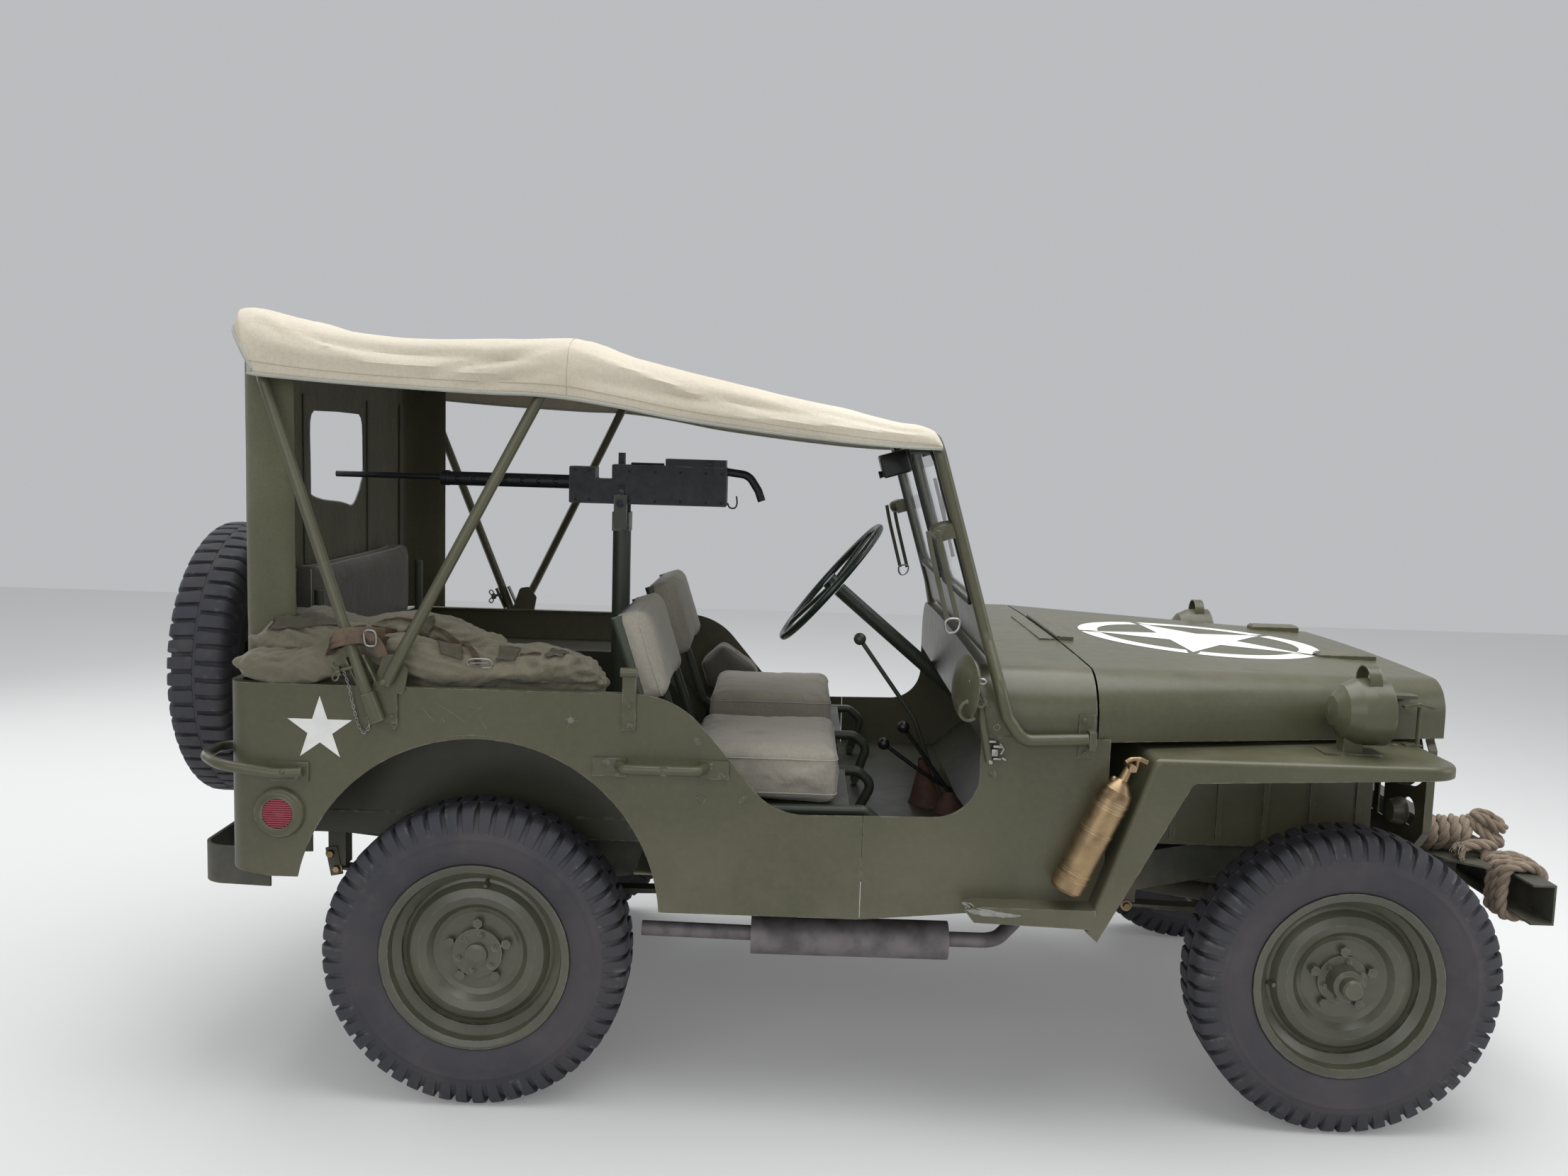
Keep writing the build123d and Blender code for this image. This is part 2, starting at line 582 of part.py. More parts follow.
def make_axles():
    def housing(front):
        bowl = [(0, -95), (60, -95), (105, -60), (118, 0), (105, 60), (60, 95), (0, 95)]
        diff = turned(bowl, [0, 20, 30, 30, 30, 20, 0])
        reach = KINGPIN_Y - 75 if front else WHEEL_Y - 62
        axle = Pos(0, DIFF_Y, 0) * Rot(90, 0, 0) * diff + Rot(90, 0, 0) * Cylinder(AXLE_TUBE_R, 2 * reach)
        return axle
    rear = Pos(0, 0, AXLE_Z) * housing(False)
    for side in (-1, 1):
        rear += on_wheel(Cylinder(120, 24), 0, side * (WHEEL_Y - 66), AXLE_Z, side)
    save("rear_axle", rear)
    front = Pos(WHEELBASE, 0, AXLE_Z) * housing(True)
    for side in (-1, 1):
        yoke = Pos(WHEELBASE, side * (KINGPIN_Y - 72), AXLE_Z) * Box(60, 24, 150)
        for dz in (-66, 66):
            yoke += Pos(WHEELBASE, side * (KINGPIN_Y - 35), AXLE_Z + dz) * Box(44, 98, 16)
        front += yoke
    save("front_axle", front)
    for side in (-1, 1):
        ball = Sphere(52)
        knuckle = Pos(WHEELBASE, side * KINGPIN_Y, AXLE_Z) * ball
        pin_y = side * KINGPIN_Y
        knuckle += rod((WHEELBASE, pin_y, AXLE_Z - 57), (WHEELBASE, pin_y, AXLE_Z + 57), 22)
        knuckle += on_wheel(Cylinder(72, 6), WHEELBASE, side * (WHEEL_Y - 26), AXLE_Z, side)
        knuckle += rod((WHEELBASE, pin_y, AXLE_Z), (WHEELBASE, side * (WHEEL_Y - 24), AXLE_Z), 34)
        arm_end = (WHEELBASE - STEER_ARM, side * TIE_ARM_Y, AXLE_Z - 20)
        knuckle += rod((WHEELBASE, side * KINGPIN_Y, AXLE_Z - 20), arm_end, 13)
        knuckle += Pos(*arm_end) * Cylinder(18, 24)
        save("right_knuckle" if side < 0 else "left_knuckle", knuckle)
    x, z = WHEELBASE - STEER_ARM, AXLE_Z - 46
    tie = rod((x, -TIE_ARM_Y, z), (x, TIE_ARM_Y, z), 11)
    tie += both_sides(Pos(x, TIE_ARM_Y, z + 1) * Cylinder(18, 22))
    save("tie_rod", tie)


def make_running_gear():
    springs = None
    for axle_x, (back, back_z, fore, fore_z) in zip((0, WHEELBASE), SPRINGS):
        seat_z = AXLE_Z + 40
        for i in range(5):
            reach = 1 - 0.17 * i
            low_z = seat_z + LEAF_T * (4 - i)
            ends = [(axle_x + (x - axle_x) * reach, low_z + (z - seat_z - 4 * LEAF_T) * reach * reach)
                    for x, z in ((back, back_z), (fore, fore_z))]
            arc = ThreePointArc(ends[0], (axle_x, low_z), ends[1])
            strip = make_face(offset(arc, LEAF_T / 2, side=Side.BOTH))
            leaf = slab_y(strip, FRAME_HALF - 47, FRAME_HALF - 3)
            springs = leaf if springs is None else springs + leaf
    save("leaf_springs", both_sides(springs))

    gearbox = block((900, 1080), (DIFF_Y - 60, 110), (466, 578))
    gearbox += Pos(1230, 0, 522) * Rot(0, 90, 0) * Cylinder(55, 320)
    gearbox += block((1380, 1478), (-130, 130), (486, 660))
    save("gearbox", gearbox)
    save("engine_block", block((1480, 2060), (-150, 150), (490, 900)))
    shafts = rod((894, DIFF_Y, 505), (124, DIFF_Y, AXLE_Z + 20), 25)
    shafts += rod((1086, DIFF_Y - 20, 500), (WHEELBASE - 124, DIFF_Y, AXLE_Z + 20), 25)
    save("drive_shafts", shafts)

    muffler = rod((640, -545, 385), (1115, -545, 385), 46)
    muffler += rod((375, -545, 392), (641, -545, 388), 18)
    front_pipe = [(1110, -545, 388), (1230, -545, 388), (1420, -250, 430), (1530, -190, 470)]
    muffler += tube(front_pipe, 18, [60, 60])
    save("exhaust", muffler)


def make_windshield():
    lean = Vector(WIND_TOP[0] - WIND_LOW[0], 0, WIND_TOP[1] - WIND_LOW[1])
    low = Vector(WIND_LOW[0], 0, WIND_LOW[1])

    def at(y, t, push=0):
        p = low + lean * t
        return (p.X + push, y, p.Z)

    y = -WIND_HALF
    outer_y = -742
    pts = [
        at(0, 1), at(y, 1), at(y, 0.12),
        (1184, outer_y, 1040), (1204, outer_y, 975), (1240, outer_y, 925), (1384, outer_y, 932),
    ]
    side = tube(pts, TUBE_R, [45, 60, 60, 40, 40])
    frame = side + mirrored(side)
    # Lower frame panel and the hinged glass frame behind the tubes
    panel = Plane(origin=at(0, 0), x_dir=(0, 1, 0), z_dir=(lean.Z, 0, -lean.X))
    frame += extrude(panel * (Pos(0, 55) * Rectangle(1330, 110)), amount=3, both=True)
    pane_hole = Rectangle(610, 360)
    glass_frame = Rectangle(1300, 400) - Pos(-325, 0) * pane_hole - Pos(325, 0) * pane_hole
    frame += extrude(panel * (Pos(0, 315) * glass_frame), amount=9, both=True)
    # Wiper motor on the header, the adjusting arms with their clamps, and the brackets down the tubes
    motor = panel * (Pos(150, 470, -48) * Box(70, 62, 78))
    frame += motor
    for side in (-1, 1):
        clamp = panel * (Pos(side * 655, 315, -22) * Box(44, 34, 46))
        frame += clamp
    save("windshield_frame", frame)
    panes = Pos(-325, 315) * Rectangle(609, 359) + Pos(325, 315) * Rectangle(609, 359)
    save("windshield_glass", extrude(panel * panes, amount=2.5, both=True))


def bow(foot, hem_x, top):
    lean = (hem_x - foot[0]) / (BOW_HEM_Z - foot[1])
    half = tube(
        [(foot[0], -BOW_FOOT_Y, foot[1]), (foot[0] + lean * 90, -BOW_FOOT_Y, foot[1] + 90),
         (hem_x, -BOW_HALF, BOW_HEM_Z), (top[0], -BOW_HALF + 60, top[1] - 20), (top[0], 0, top[1])],
        TUBE_R - 1,
        [150, 60, 90],
    )
    return half + mirrored(half)


def make_top():
    save("rear_bow", bow(**REAR_BOW))
    save("front_bow", bow(**FRONT_BOW))

    # Canvas: (X, half width, hem Z, shoulder Z, crown Z) at each section
    sections = [
        (-570, 694, 1694, 1798, 1814),
        (-540, 698, 1690, 1828, 1846),
        (-208, 694, 1670, 1772, 1788),
        (200, 702, 1658, 1778, 1796),
        (600, 696, 1600, 1700, 1712),
        (1052, 700, 1574, 1610, 1618),
    ]

    def skin(x, half, hem, shoulder, crown, inset):
        h, c, s = half - inset, crown - inset, shoulder - inset
        low = hem - (12 if inset else 0)
        line = Polyline((h, low), (h - 8, (low + s) / 2), (h - 55, s))
        line += ThreePointArc((h - 55, s), (0, c), (55 - h, s))
        line += Polyline((55 - h, s), (8 - h, (low + s) / 2), (-h, low), (h, low))
        return Plane.YZ.offset(x) * make_face(line)

    outer = loft([skin(*s, 0) for s in sections], ruled=True)
    inner_sections = [list(s) for s in sections]
    inner_sections[0][0] += TOP_SKIN
    inner_sections[-1][0] -= TOP_SKIN
    inner = loft([skin(*s, TOP_SKIN) for s in inner_sections], ruled=True)
    save("canvas_top", outer - inner)

    def wrap(inset):
        half, rear = CURTAIN_HALF - inset, -553 + inset
        corner = 40 - inset
        return face_of([(rear, -half), (-420, -half), (-420, half), (rear, half)], [corner, 0, 0, corner])

    curtain = slab_z(wrap(0), 1006, 1688) - slab_z(wrap(4), 1000, 1700)
    curtain -= block((-430, -410), (-CURTAIN_HALF + 4, CURTAIN_HALF - 4), (1000, 1700))
    window = face_of([(-228, 1340), (215, 1340), (215, 1622), (-228, 1622)], [10, 10, 20, 20])
    curtain -= slab_x(window, -600, -500)
    save("rear_curtain", curtain)


def seat_pad(x, y, z, tilt=0, radius=18):
    pad = Box(x, y, z)
    pad = fillet(pad.edges().filter_by(Axis.Z), radius)
    return Rot(0, tilt, 0) * pad


def make_seats():
    for name, y, seat_z in (("driver", 340, 733), ("passenger", -350, 700)):
        half = SEAT_HALF
        seat = None
        for s in (-1, 1):
            ys = y + s * half
            loop = tube([(912, ys, FLOOR_Z + 14), (945, ys, seat_z - 33), (905, ys, seat_z),
                         (470, ys, seat_z - 5), (436, ys, seat_z + 20), (300, ys, 1150)],
                        13, [30, 25, 25, 25])
            leg = rod((490, ys, FLOOR_Z + 0.5), (490, ys, seat_z - 4), 12)
            seat = loop + leg if seat is None else seat + loop + leg
            seat += rod((912, ys - 15, FLOOR_Z + 14), (912, ys + 15, FLOOR_Z + 14), 11)
        for x, z in ((303.5, 1139), (850, seat_z - 4), (525, seat_z - 5)):
            seat += rod((x, y - half, z), (x, y + half, z), 10)
        seat += block((507, 868), (y - half + 5, y + half - 5), (seat_z + 3, seat_z + 8))
        save(name + "_seat_frame", seat)
        thick = 848 - seat_z - 14
        cushion = Pos(660, y, seat_z + 14 + thick / 2) * seat_pad(376, 430, thick)
        save(name + "_seat_cushion", cushion)
        back = seat_pad(84, 430, 232)
        for s in (-1, 1):
            back -= Pos(-30, s * half, -10) * Box(42, 31, 245)
        back -= Pos(-30, 0, 85) * Box(42, 2 * half, 54)
        save(name + "_seat_back", Pos(358, y, 1058) * Rot(0, -17.5, 0) * back)

    bench = block((-461, -100), (-437, 437), (820, 836))
    bench += both_sides(rod((-449, 425, REAR_FLOOR_Z + 0.5), (-449, 425, 1180), 12))
    bench += both_sides(rod((-120, 425, REAR_FLOOR_Z + 0.5), (-120, 425, 830), 12))
    save("rear_seat_frame", bench)
    pads = Pos(-265, 0, 882) * seat_pad(320, 810, 90)
    pads += Pos(-502, 0, 1122) * seat_pad(76, 810, 236)
    save("rear_seat_pads", pads)
    wedge = face_of([(418, 858), (490, 922), (598, 850), (628, 779), (447, 773)], 14)
    save("side_pad", slab_y(wedge, 590, 700))


def make_fuel_tank():
    """Flat tank under the driver's cushion, with rounded ends, two pressed ribs and its filler neck."""
    body = slab_x(face_of([(165, 596), (515, 596), (515, 713), (165, 713)], 26), 520, 862)
    for x in (590, 700, 810):
        rib = slab_x(face_of([(161, 592), (519, 592), (519, 716), (161, 716)], 30), x, x + 14)
        body += rib
    save("fuel_tank", body)


def make_steering():
    hub_point = Vector(*STEER_HUB)
    foot = Vector(*COLUMN_FOOT)
    axis = (hub_point - foot).normalized()
    plane = Plane(origin=hub_point, z_dir=axis)
    wheel = plane * Torus(STEER_WHEEL_R, 11)
    wheel += extrude(plane.offset(-24) * Circle(26), amount=34)
    for i in range(3):
        a = math.radians(90 + 120 * i)
        end = plane.from_local_coords((STEER_WHEEL_R * math.cos(a), STEER_WHEEL_R * math.sin(a), 0))
        start = plane.from_local_coords((18 * math.cos(a), 18 * math.sin(a), -8))
        wheel += rod(tuple(start), tuple(end), 7)
    save("steering_wheel", wheel)
    top = hub_point - axis * 34
    column = rod(tuple(foot), tuple(top), 22)
    save("steering_column", column)
    levers = tube([(1150, -60, 590), (1060, -60, 830), (903, -60, 1046)], 6, [60])
    levers += Pos(903, -60, 1046) * Sphere(17)
    save("gear_levers", levers)


def make_gun():
    """Display dummy of a machine gun on its pedestal, muzzle to the rear, solid throughout."""
    pedestal = rod((PEDESTAL_X, 0, REAR_FLOOR_Z + 1), (PEDESTAL_X, 0, 1330), 25)
    pedestal += block((PEDESTAL_X - 90, PEDESTAL_X + 90), (-90, 90), (REAR_FLOOR_Z + 1, REAR_FLOOR_Z + 10))
    pedestal += block((PEDESTAL_X - 24, PEDESTAL_X + 24), (-30, 30), (1320, 1372))
    for side in (-1, 1):
        fork = (PEDESTAL_X - 18, PEDESTAL_X + 18)
        pedestal += block(fork, (side * 40 - 5, side * 40 + 5), (1325, 1420))
        pedestal += block(fork, (min(0, side * 40), max(0, side * 40)), (1325, 1340))
    save("gun_pedestal", pedestal)

    low, high = 1394, 1494
    receiver = [(95, low), (526, low), (526, high + 8), (212, high + 8),
                (212, 1462), (167, 1462), (167, high), (95, high)]
    gun = slab_y(face_of(receiver, 4), -32, 32)
    gun += block((358, 523), (-34, 34), (1500, 1521))
    gun += block((226, 244), (-9, 9), (1500, 1534))
    jacket = rod((-257, 0, GUN_Z), (97, 0, GUN_Z), 19)
    for x in range(-215, 60, 45):
        jacket -= Pos(x, 0, GUN_Z) * Rot(90, 0, 0) * Cylinder(8, 60)
    gun += jacket
    gun += rod((-554, 0, GUN_Z + 3), (-250, 0, GUN_Z + 3), 8)
    gun += rod((-262, 0, GUN_Z + 1), (-240, 0, GUN_Z + 1), 21)
    # Curved rear grip over a trigger loop
    grip = tube([(520, 0, 1490), (585, 0, 1482), (612, 0, 1440), (622, 0, 1412)], 11, [40, 30])
    gun += grip
    save("dummy_gun", gun)


def make_grab_handles():
    """Side grab handles with end plates and the wrap-round rear corner handles."""
    handle = tube([(340, -733, 838), (350, -768, 838), (520, -768, 838), (530, -733, 838)], 9, [16, 16])
    for x0, x1 in ((277, 352), (518, 584)):
        handle += block((x0, x1), (-731, -724.5), (812, 854))
    corner = tube([(-380, -738, 800), (-430, -756, 800), (-560, -756, 818), (-616, -700, 824),
                   (-616, -590, 824), (BODY_REAR_X - 0.5, -590, 824)],
                  12, [50, 70, 60, 40])
    corner += block((-452, -366), (-731, -724.5), (778, 822))
    save("grab_handles", both_sides(handle + corner))


def make_brackets():
    """Bow sockets, the strap brackets on the rails, the windshield's feet and the hood catches."""
    lean = (REAR_BOW["hem_x"] - REAR_BOW["foot"][0]) / (BOW_HEM_Z - REAR_BOW["foot"][1])
    foot = Vector(REAR_BOW["foot"][0], -BOW_FOOT_Y, REAR_BOW["foot"][1])
    up = Vector(lean, 0, 1).normalized()
    low, high = foot - up * 6, foot + up * 62
    socket = rod(tuple(low), tuple(high), TUBE_R + 3)
    socket -= rod(tuple(foot - up * 0.4), tuple(high + up), TUBE_R - 0.5)
    socket += block((-236, -164), (-731, -724.5), (918, 994))
    pivot = [(-225, 985), (-150, 985), (-140, 1040), (-165, 1075), (-196, 1070)]
    socket += slab_y(face_of(pivot, 12), -730.3, -724.5)
    strap = block((341, 372), (-730, -724.5), (918, 1052))
    strap += rod((337, -731, 1050), (375, -731, 1050), 11)
    wind_foot = block((1366, 1402), (-727.6, -724.5), (888, 986))
    wind_foot += block((1385, 1400), (-758, -727), (912, 952))
    catch = rod((2204, -556, FENDER_TOP_Z + 0.5), (2204, -556, 996), 5)
    lever = [(2166, 992), (2200, 998), (2238, 990), (2238, 996), (2202, 1006), (2166, 999)]
    catch += slab_y(face_of(lever), -566, -546)
    catch += block((2172, 2210), (-570, -542), (FENDER_TOP_Z + 0.5, FENDER_TOP_Z + 4))
    save("brackets", both_sides(socket + strap + wind_foot + catch))


def make_reflectors():
    dish = turned([(0, 0), (57, 0), (57, 5), (50, 9), (40, 5), (37, 5), (35, 11), (0, 13)])
    save("reflectors", both_sides(Pos(-434, -724.5, 703) * Rot(90, 0, 0) * dish))


def make_fender_lamps():
    """Egg-shaped lamps on bolted feet, each with a flat guard hoop over it."""
    shell = turned([(0, 0), (34, 6), (60, 26), (74, 56), (77, 84), (77, 122), (70, 126), (0, 130)])
    hoop = face_of([(-41, 35), (-41, 107), (41, 107), (41, 35)], [0, 40, 40, 0])
    hoop -= face_of([(-38, 34), (-38, 104), (38, 104), (38, 34)], [0, 37, 37, 0])
    lamps = None
    for side in (-1, 1):
        y = side * 655
        one = Pos(1950, y, 1000) * Rot(0, 90, 0) * shell
        one += Pos(0, y, 1000) * slab_x(hoop, 2022, 2050)
        one += block((1980, 2024), (y - 20, y + 20), (FENDER_TOP_Z + 2, 950))
        one += block((1935, 2070), (y - 34, y + 34), (FENDER_TOP_Z + 0.5, FENDER_TOP_Z + 5))
        lamps = one if lamps is None else lamps + one
    save("fender_lamps", lamps)


def make_extinguisher():
    """Brass hand-pump bottle that hangs along the fender's sloping plate."""
    low, high = Vector(1345, -765, 595), Vector(1461, -765, 850)
    long = (high - low).length
    bottle = turned([(0, 0), (34, 0), (38, 6), (38, long - 40), (34, long - 26), (20, long - 8), (12, long),
                     (9, long + 34), (0, long + 34)])
    for h in (34, 50, 150, long - 70, long - 54):
        bottle += Pos(0, 0, h) * Cylinder(39.5, 6)
    bottle += Pos(0, 0, long + 34) * Rot(0, 90, 0) * Cylinder(8, 52)
    axis = Plane(origin=low, x_dir=(0, 1, 0), z_dir=high - low)
    bottle = axis * bottle
    bottle += rod((1409, -765, 741), (1442, -765, 730), 12)
    save("fire_extinguisher", bottle)


def make_tow_hook():
    """Tow hook bolted through the rear panel to the frame's end."""
    plate_x = BODY_REAR_X - 0.5
    hook = block((plate_x - 10, plate_x), (-46, 46), (584, 660))
    hook += block((plate_x - 38, plate_x - 9), (-18, 18), (600, 636))
    hook += Pos(plate_x - 54, 0, 618) * Rot(90, 0, 0) * Torus(24, 10)
    for y in (-34, 34):
        for z in (596, 648):
            hook += Pos(plate_x - 12, y, z) * Rot(0, 90, 0) * Cylinder(8, 8)
    save("tow_hook", hook)


def make_soft_loads():
    bundle = Pos(-58, -585, 985) * seat_pad(700, 165, 155)
    save("canvas_bundle", bundle)

    # Rope round the bumper, as the outer shape of its turns, and the coil that lies on the plate
    def loop(grow, radius):
        x0, x1 = BUMPER_FRONT_X - BUMPER_DEEP - grow, BUMPER_FRONT_X + grow
        z0, z1 = BUMPER_Z - BUMPER_HALF_H - grow, BUMPER_Z + BUMPER_HALF_H + grow
        return face_of([(x0, z0), (x1, z0), (x1, z1), (x0, z1)], radius)

    rope = slab_y(loop(ROPE_D, 30), ROPE_OUT_Y, ROPE_OUT_Y + ROPE_TURNS * ROPE_D)
    rope -= slab_y(loop(1, 2), ROPE_OUT_Y - 10, ROPE_OUT_Y + 120)
    coil = Box(195, 98, 96)
    rope += Pos(2398, -391, 657.5) * fillet(coil.edges(), 38)
    save("bumper_rope", rope)


make_body_tub()
make_cowl()
make_hood()
make_grille()
make_radiator()
make_head_lamps()
make_fender(-1)
make_fender(1)
make_frame()
make_bumpers()
make_wheels()
make_spare()
make_axles()
make_running_gear()
make_windshield()
make_top()
make_seats()
make_fuel_tank()
make_steering()
make_gun()
make_grab_handles()
make_brackets()
make_reflectors()
make_fender_lamps()
make_extinguisher()
make_tow_hook()
make_soft_loads()
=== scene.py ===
import json
import math
import random

import bmesh
import bpy
import numpy as np
from mathutils import Matrix, Vector, noise
from mathutils.bvhtree import BVHTree


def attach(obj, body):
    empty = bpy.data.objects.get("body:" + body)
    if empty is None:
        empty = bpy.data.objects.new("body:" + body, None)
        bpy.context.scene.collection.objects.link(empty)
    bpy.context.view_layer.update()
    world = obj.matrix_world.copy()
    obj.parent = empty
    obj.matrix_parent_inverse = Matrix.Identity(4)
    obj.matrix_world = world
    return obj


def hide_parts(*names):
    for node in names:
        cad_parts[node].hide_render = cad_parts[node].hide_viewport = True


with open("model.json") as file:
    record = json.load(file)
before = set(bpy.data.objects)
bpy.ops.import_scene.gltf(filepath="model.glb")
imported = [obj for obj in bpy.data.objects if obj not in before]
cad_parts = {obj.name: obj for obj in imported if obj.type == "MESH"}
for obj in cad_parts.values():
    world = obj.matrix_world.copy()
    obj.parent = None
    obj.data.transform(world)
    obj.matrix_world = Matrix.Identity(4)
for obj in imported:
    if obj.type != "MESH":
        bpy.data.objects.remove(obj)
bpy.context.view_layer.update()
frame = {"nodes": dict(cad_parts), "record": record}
nodes = frame["nodes"]


# ---- Camera and light ----
# The camera stands on the car's right, a little behind its middle, at standing height and tilted down a little.
# One broad soft panel hangs over the car, with weaker ones at its near side and at both ends.

CAMERA_PLACE = Vector((-0.1465, -3.6287, 1.557))
yaw, pitch, tilt = -0.0077, 0.1053, 0.0298
SENSOR, FOCAL_PIXELS, PHOTO_WIDTH = 36, 1854.4, 2212
forward = Vector((math.sin(yaw) * math.cos(pitch), math.cos(yaw) * math.cos(pitch), -math.sin(pitch)))
side = Vector((math.cos(yaw), -math.sin(yaw), 0))
above = side.cross(forward)
right = math.cos(tilt) * side + math.sin(tilt) * above
upward = math.cos(tilt) * above - math.sin(tilt) * side
camera = bpy.data.objects.new("camera", bpy.data.cameras.new("camera"))
bpy.context.scene.collection.objects.link(camera)
camera.data.sensor_width = SENSOR
camera.data.lens = SENSOR * FOCAL_PIXELS / PHOTO_WIDTH
camera.data.clip_start, camera.data.clip_end = 0.05, 100
camera.matrix_world = Matrix((
    (right.x, upward.x, -forward.x, CAMERA_PLACE.x),
    (right.y, upward.y, -forward.y, CAMERA_PLACE.y),
    (right.z, upward.z, -forward.z, CAMERA_PLACE.z),
    (0, 0, 0, 1),
))
bpy.context.scene.camera = camera
bpy.context.scene.view_settings.view_transform = "Standard"


def area_light(name, place, target, size, power, tint=(1, 1, 1)):
    light = bpy.data.objects.new(name, bpy.data.lights.new(name, "AREA"))
    light.data.shape = "RECTANGLE"
    light.data.size, light.data.size_y = size
    light.data.energy = power
    light.data.color = tint
    light.location = place
    light.rotation_euler = (Vector(target) - Vector(place)).to_track_quat("-Z", "Y").to_euler()
    bpy.context.scene.collection.objects.link(light)


area_light("sky_panel", (0.2, 0.2, 5.0), (0, 0, 0.4), (7.0, 4.6), 340, (0.97, 0.985, 1))
area_light("near_panel", (-1.4, -6.2, 2.9), (0, 0, 0.7), (6.5, 3.2), 95)
area_light("front_panel", (5.4, -1.4, 2.2), (0.6, 0, 0.7), (2.6, 2.4), 38)
area_light("rear_panel", (-5.2, 2.4, 2.6), (-0.4, 0, 0.9), (3, 2.4), 38)


# ---- Floor and backdrop ----
# A plain pale studio floor under an even, slightly cool world; neither is part of the car.
# The floor glows a little to the camera, to glossy surfaces and to glass, and adds no light to the car.

class Sock:
    """A node's output that can be added, multiplied and compared in plain expressions."""

    def __init__(self, material, out):
        self.material, self.out = material, out

    def math(self, operation, *others):
        node = self.material.tree.nodes.new("ShaderNodeMath")
        node.operation = operation
        for socket, value in zip(node.inputs, (self, *others)):
            self.material.put(socket, value)
        return Sock(self.material, node.outputs[0])

    def __add__(self, other):
        return self.math("ADD", other)

    def __sub__(self, other):
        return self.math("SUBTRACT", other)

    def __mul__(self, other):
        return self.math("MULTIPLY", other)

    __radd__, __rmul__ = __add__, __mul__

    def __rsub__(self, other):
        return self.math("MULTIPLY", -1).math("ADD", other)

    def between(self, low, high):
        """0 at low, 1 at high and smooth between, also with low above high."""
        return self.material.node("ShaderNodeMapRange", {"Value": self, "From Min": low, "From Max": high},
                                  interpolation_type="SMOOTHSTEP")


class Material:
    def __init__(self, name):
        self.data = bpy.data.materials.new(name)
        self.data.use_nodes = True
        self.tree = self.data.node_tree
        self.shader = self.tree.nodes["Principled BSDF"]
        self.place = self.node("ShaderNodeTexCoord", out="Object")
        parts = self.tree.nodes.new("ShaderNodeSeparateXYZ")
        self.put(parts.inputs[0], self.place)
        self.x, self.y, self.z = (Sock(self, out) for out in parts.outputs)
        self.lift = self.node("ShaderNodeSeparateXYZ", {0: self.node("ShaderNodeNewGeometry", out="Normal")}, out=2)

    def put(self, socket, value):
        if isinstance(value, Sock):
            self.tree.links.new(value.out, socket)
        elif hasattr(value, "__len__") and len(value) == 3 and len(getattr(socket, "default_value", value)) == 4:
            socket.default_value = (*value, 1)
        else:
            socket.default_value = value

    def node(self, kind, inputs=None, out=0, **settings):
        node = self.tree.nodes.new(kind)
        for key, value in settings.items():
            setattr(node, key, value)
        for key, value in (inputs or {}).items():
            self.put(node.inputs[key], value)
        return Sock(self, node.outputs[out])

    def noise(self, scale, detail=3, rough=0.5, stretch=(1, 1, 1)):
        place = self.node("ShaderNodeVectorMath", {0: self.place, 1: stretch}, operation="MULTIPLY")
        return self.node("ShaderNodeTexNoise",
                         {"Vector": place, "Scale": scale, "Detail": detail, "Roughness": rough}, noise_dimensions="3D")

    def mix(self, amount, first, second):
        node = self.tree.nodes.new("ShaderNodeMix")
        node.data_type = "RGBA"
        self.put(node.inputs[0], amount)
        self.put(node.inputs[6], first)
        self.put(node.inputs[7], second)
        return Sock(self, node.outputs[2])

    def attribute(self, name):
        return self.node("ShaderNodeAttribute", out="Fac", attribute_name=name)

    def edges(self, radius):
        """1 along outside edges, from a rounded normal that leaves the true one."""
        round_normal = self.node("ShaderNodeBevel", {"Radius": radius}, samples=4)
        true_normal = self.node("ShaderNodeNewGeometry", out="Normal")
        return self.node("ShaderNodeVectorMath", {0: round_normal, 1: true_normal}, out="Value",
                         operation="DOT_PRODUCT").between(0.985, 0.86)

    def finish(self, color, roughness, bumps=(), **fixed):
        self.put(self.shader.inputs["Base Color"], color)
        self.put(self.shader.inputs["Roughness"], roughness)
        normal = None
        for height, distance in bumps:
            inputs = {"Height": height, "Distance": distance, "Strength": 1.0}
            if normal:
                inputs["Normal"] = normal
            normal = self.node("ShaderNodeBump", inputs)
        if normal:
            self.put(self.shader.inputs["Normal"], normal)
        for key, value in fixed.items():
            self.put(self.shader.inputs[key.replace("_", " ")], value)
        return self.data


def piece(name, bm, material, body="car", smooth=True):
    """An object made from a bmesh, with one finish, that rides on a body when one is named."""
    bmesh.ops.recalc_face_normals(bm, faces=bm.faces)
    mesh = bpy.data.meshes.new(name)
    bm.to_mesh(mesh)
    bm.free()
    for polygon in mesh.polygons:
        polygon.use_smooth = smooth
    mesh.materials.append(material)
    made = bpy.data.objects.new(name, mesh)
    bpy.context.scene.collection.objects.link(made)
    if smooth:
        mesh.set_sharp_from_angle(angle=math.radians(38))
    if body:
        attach(made, body)
    return made


def add_grid(bm, rows, wrap_rows=False, wrap_columns=False):
    """Quads between rows of points; returns the vertices, row by row."""
    verts = [[bm.verts.new(p) for p in row] for row in rows]
    count, width = len(rows), len(rows[0])
    for i in range(count if wrap_rows else count - 1):
        for j in range(width if wrap_columns else width - 1):
            a, b = verts[i], verts[(i + 1) % count]
            bm.faces.new((a[j], a[(j + 1) % width], b[(j + 1) % width], b[j]))
    return verts


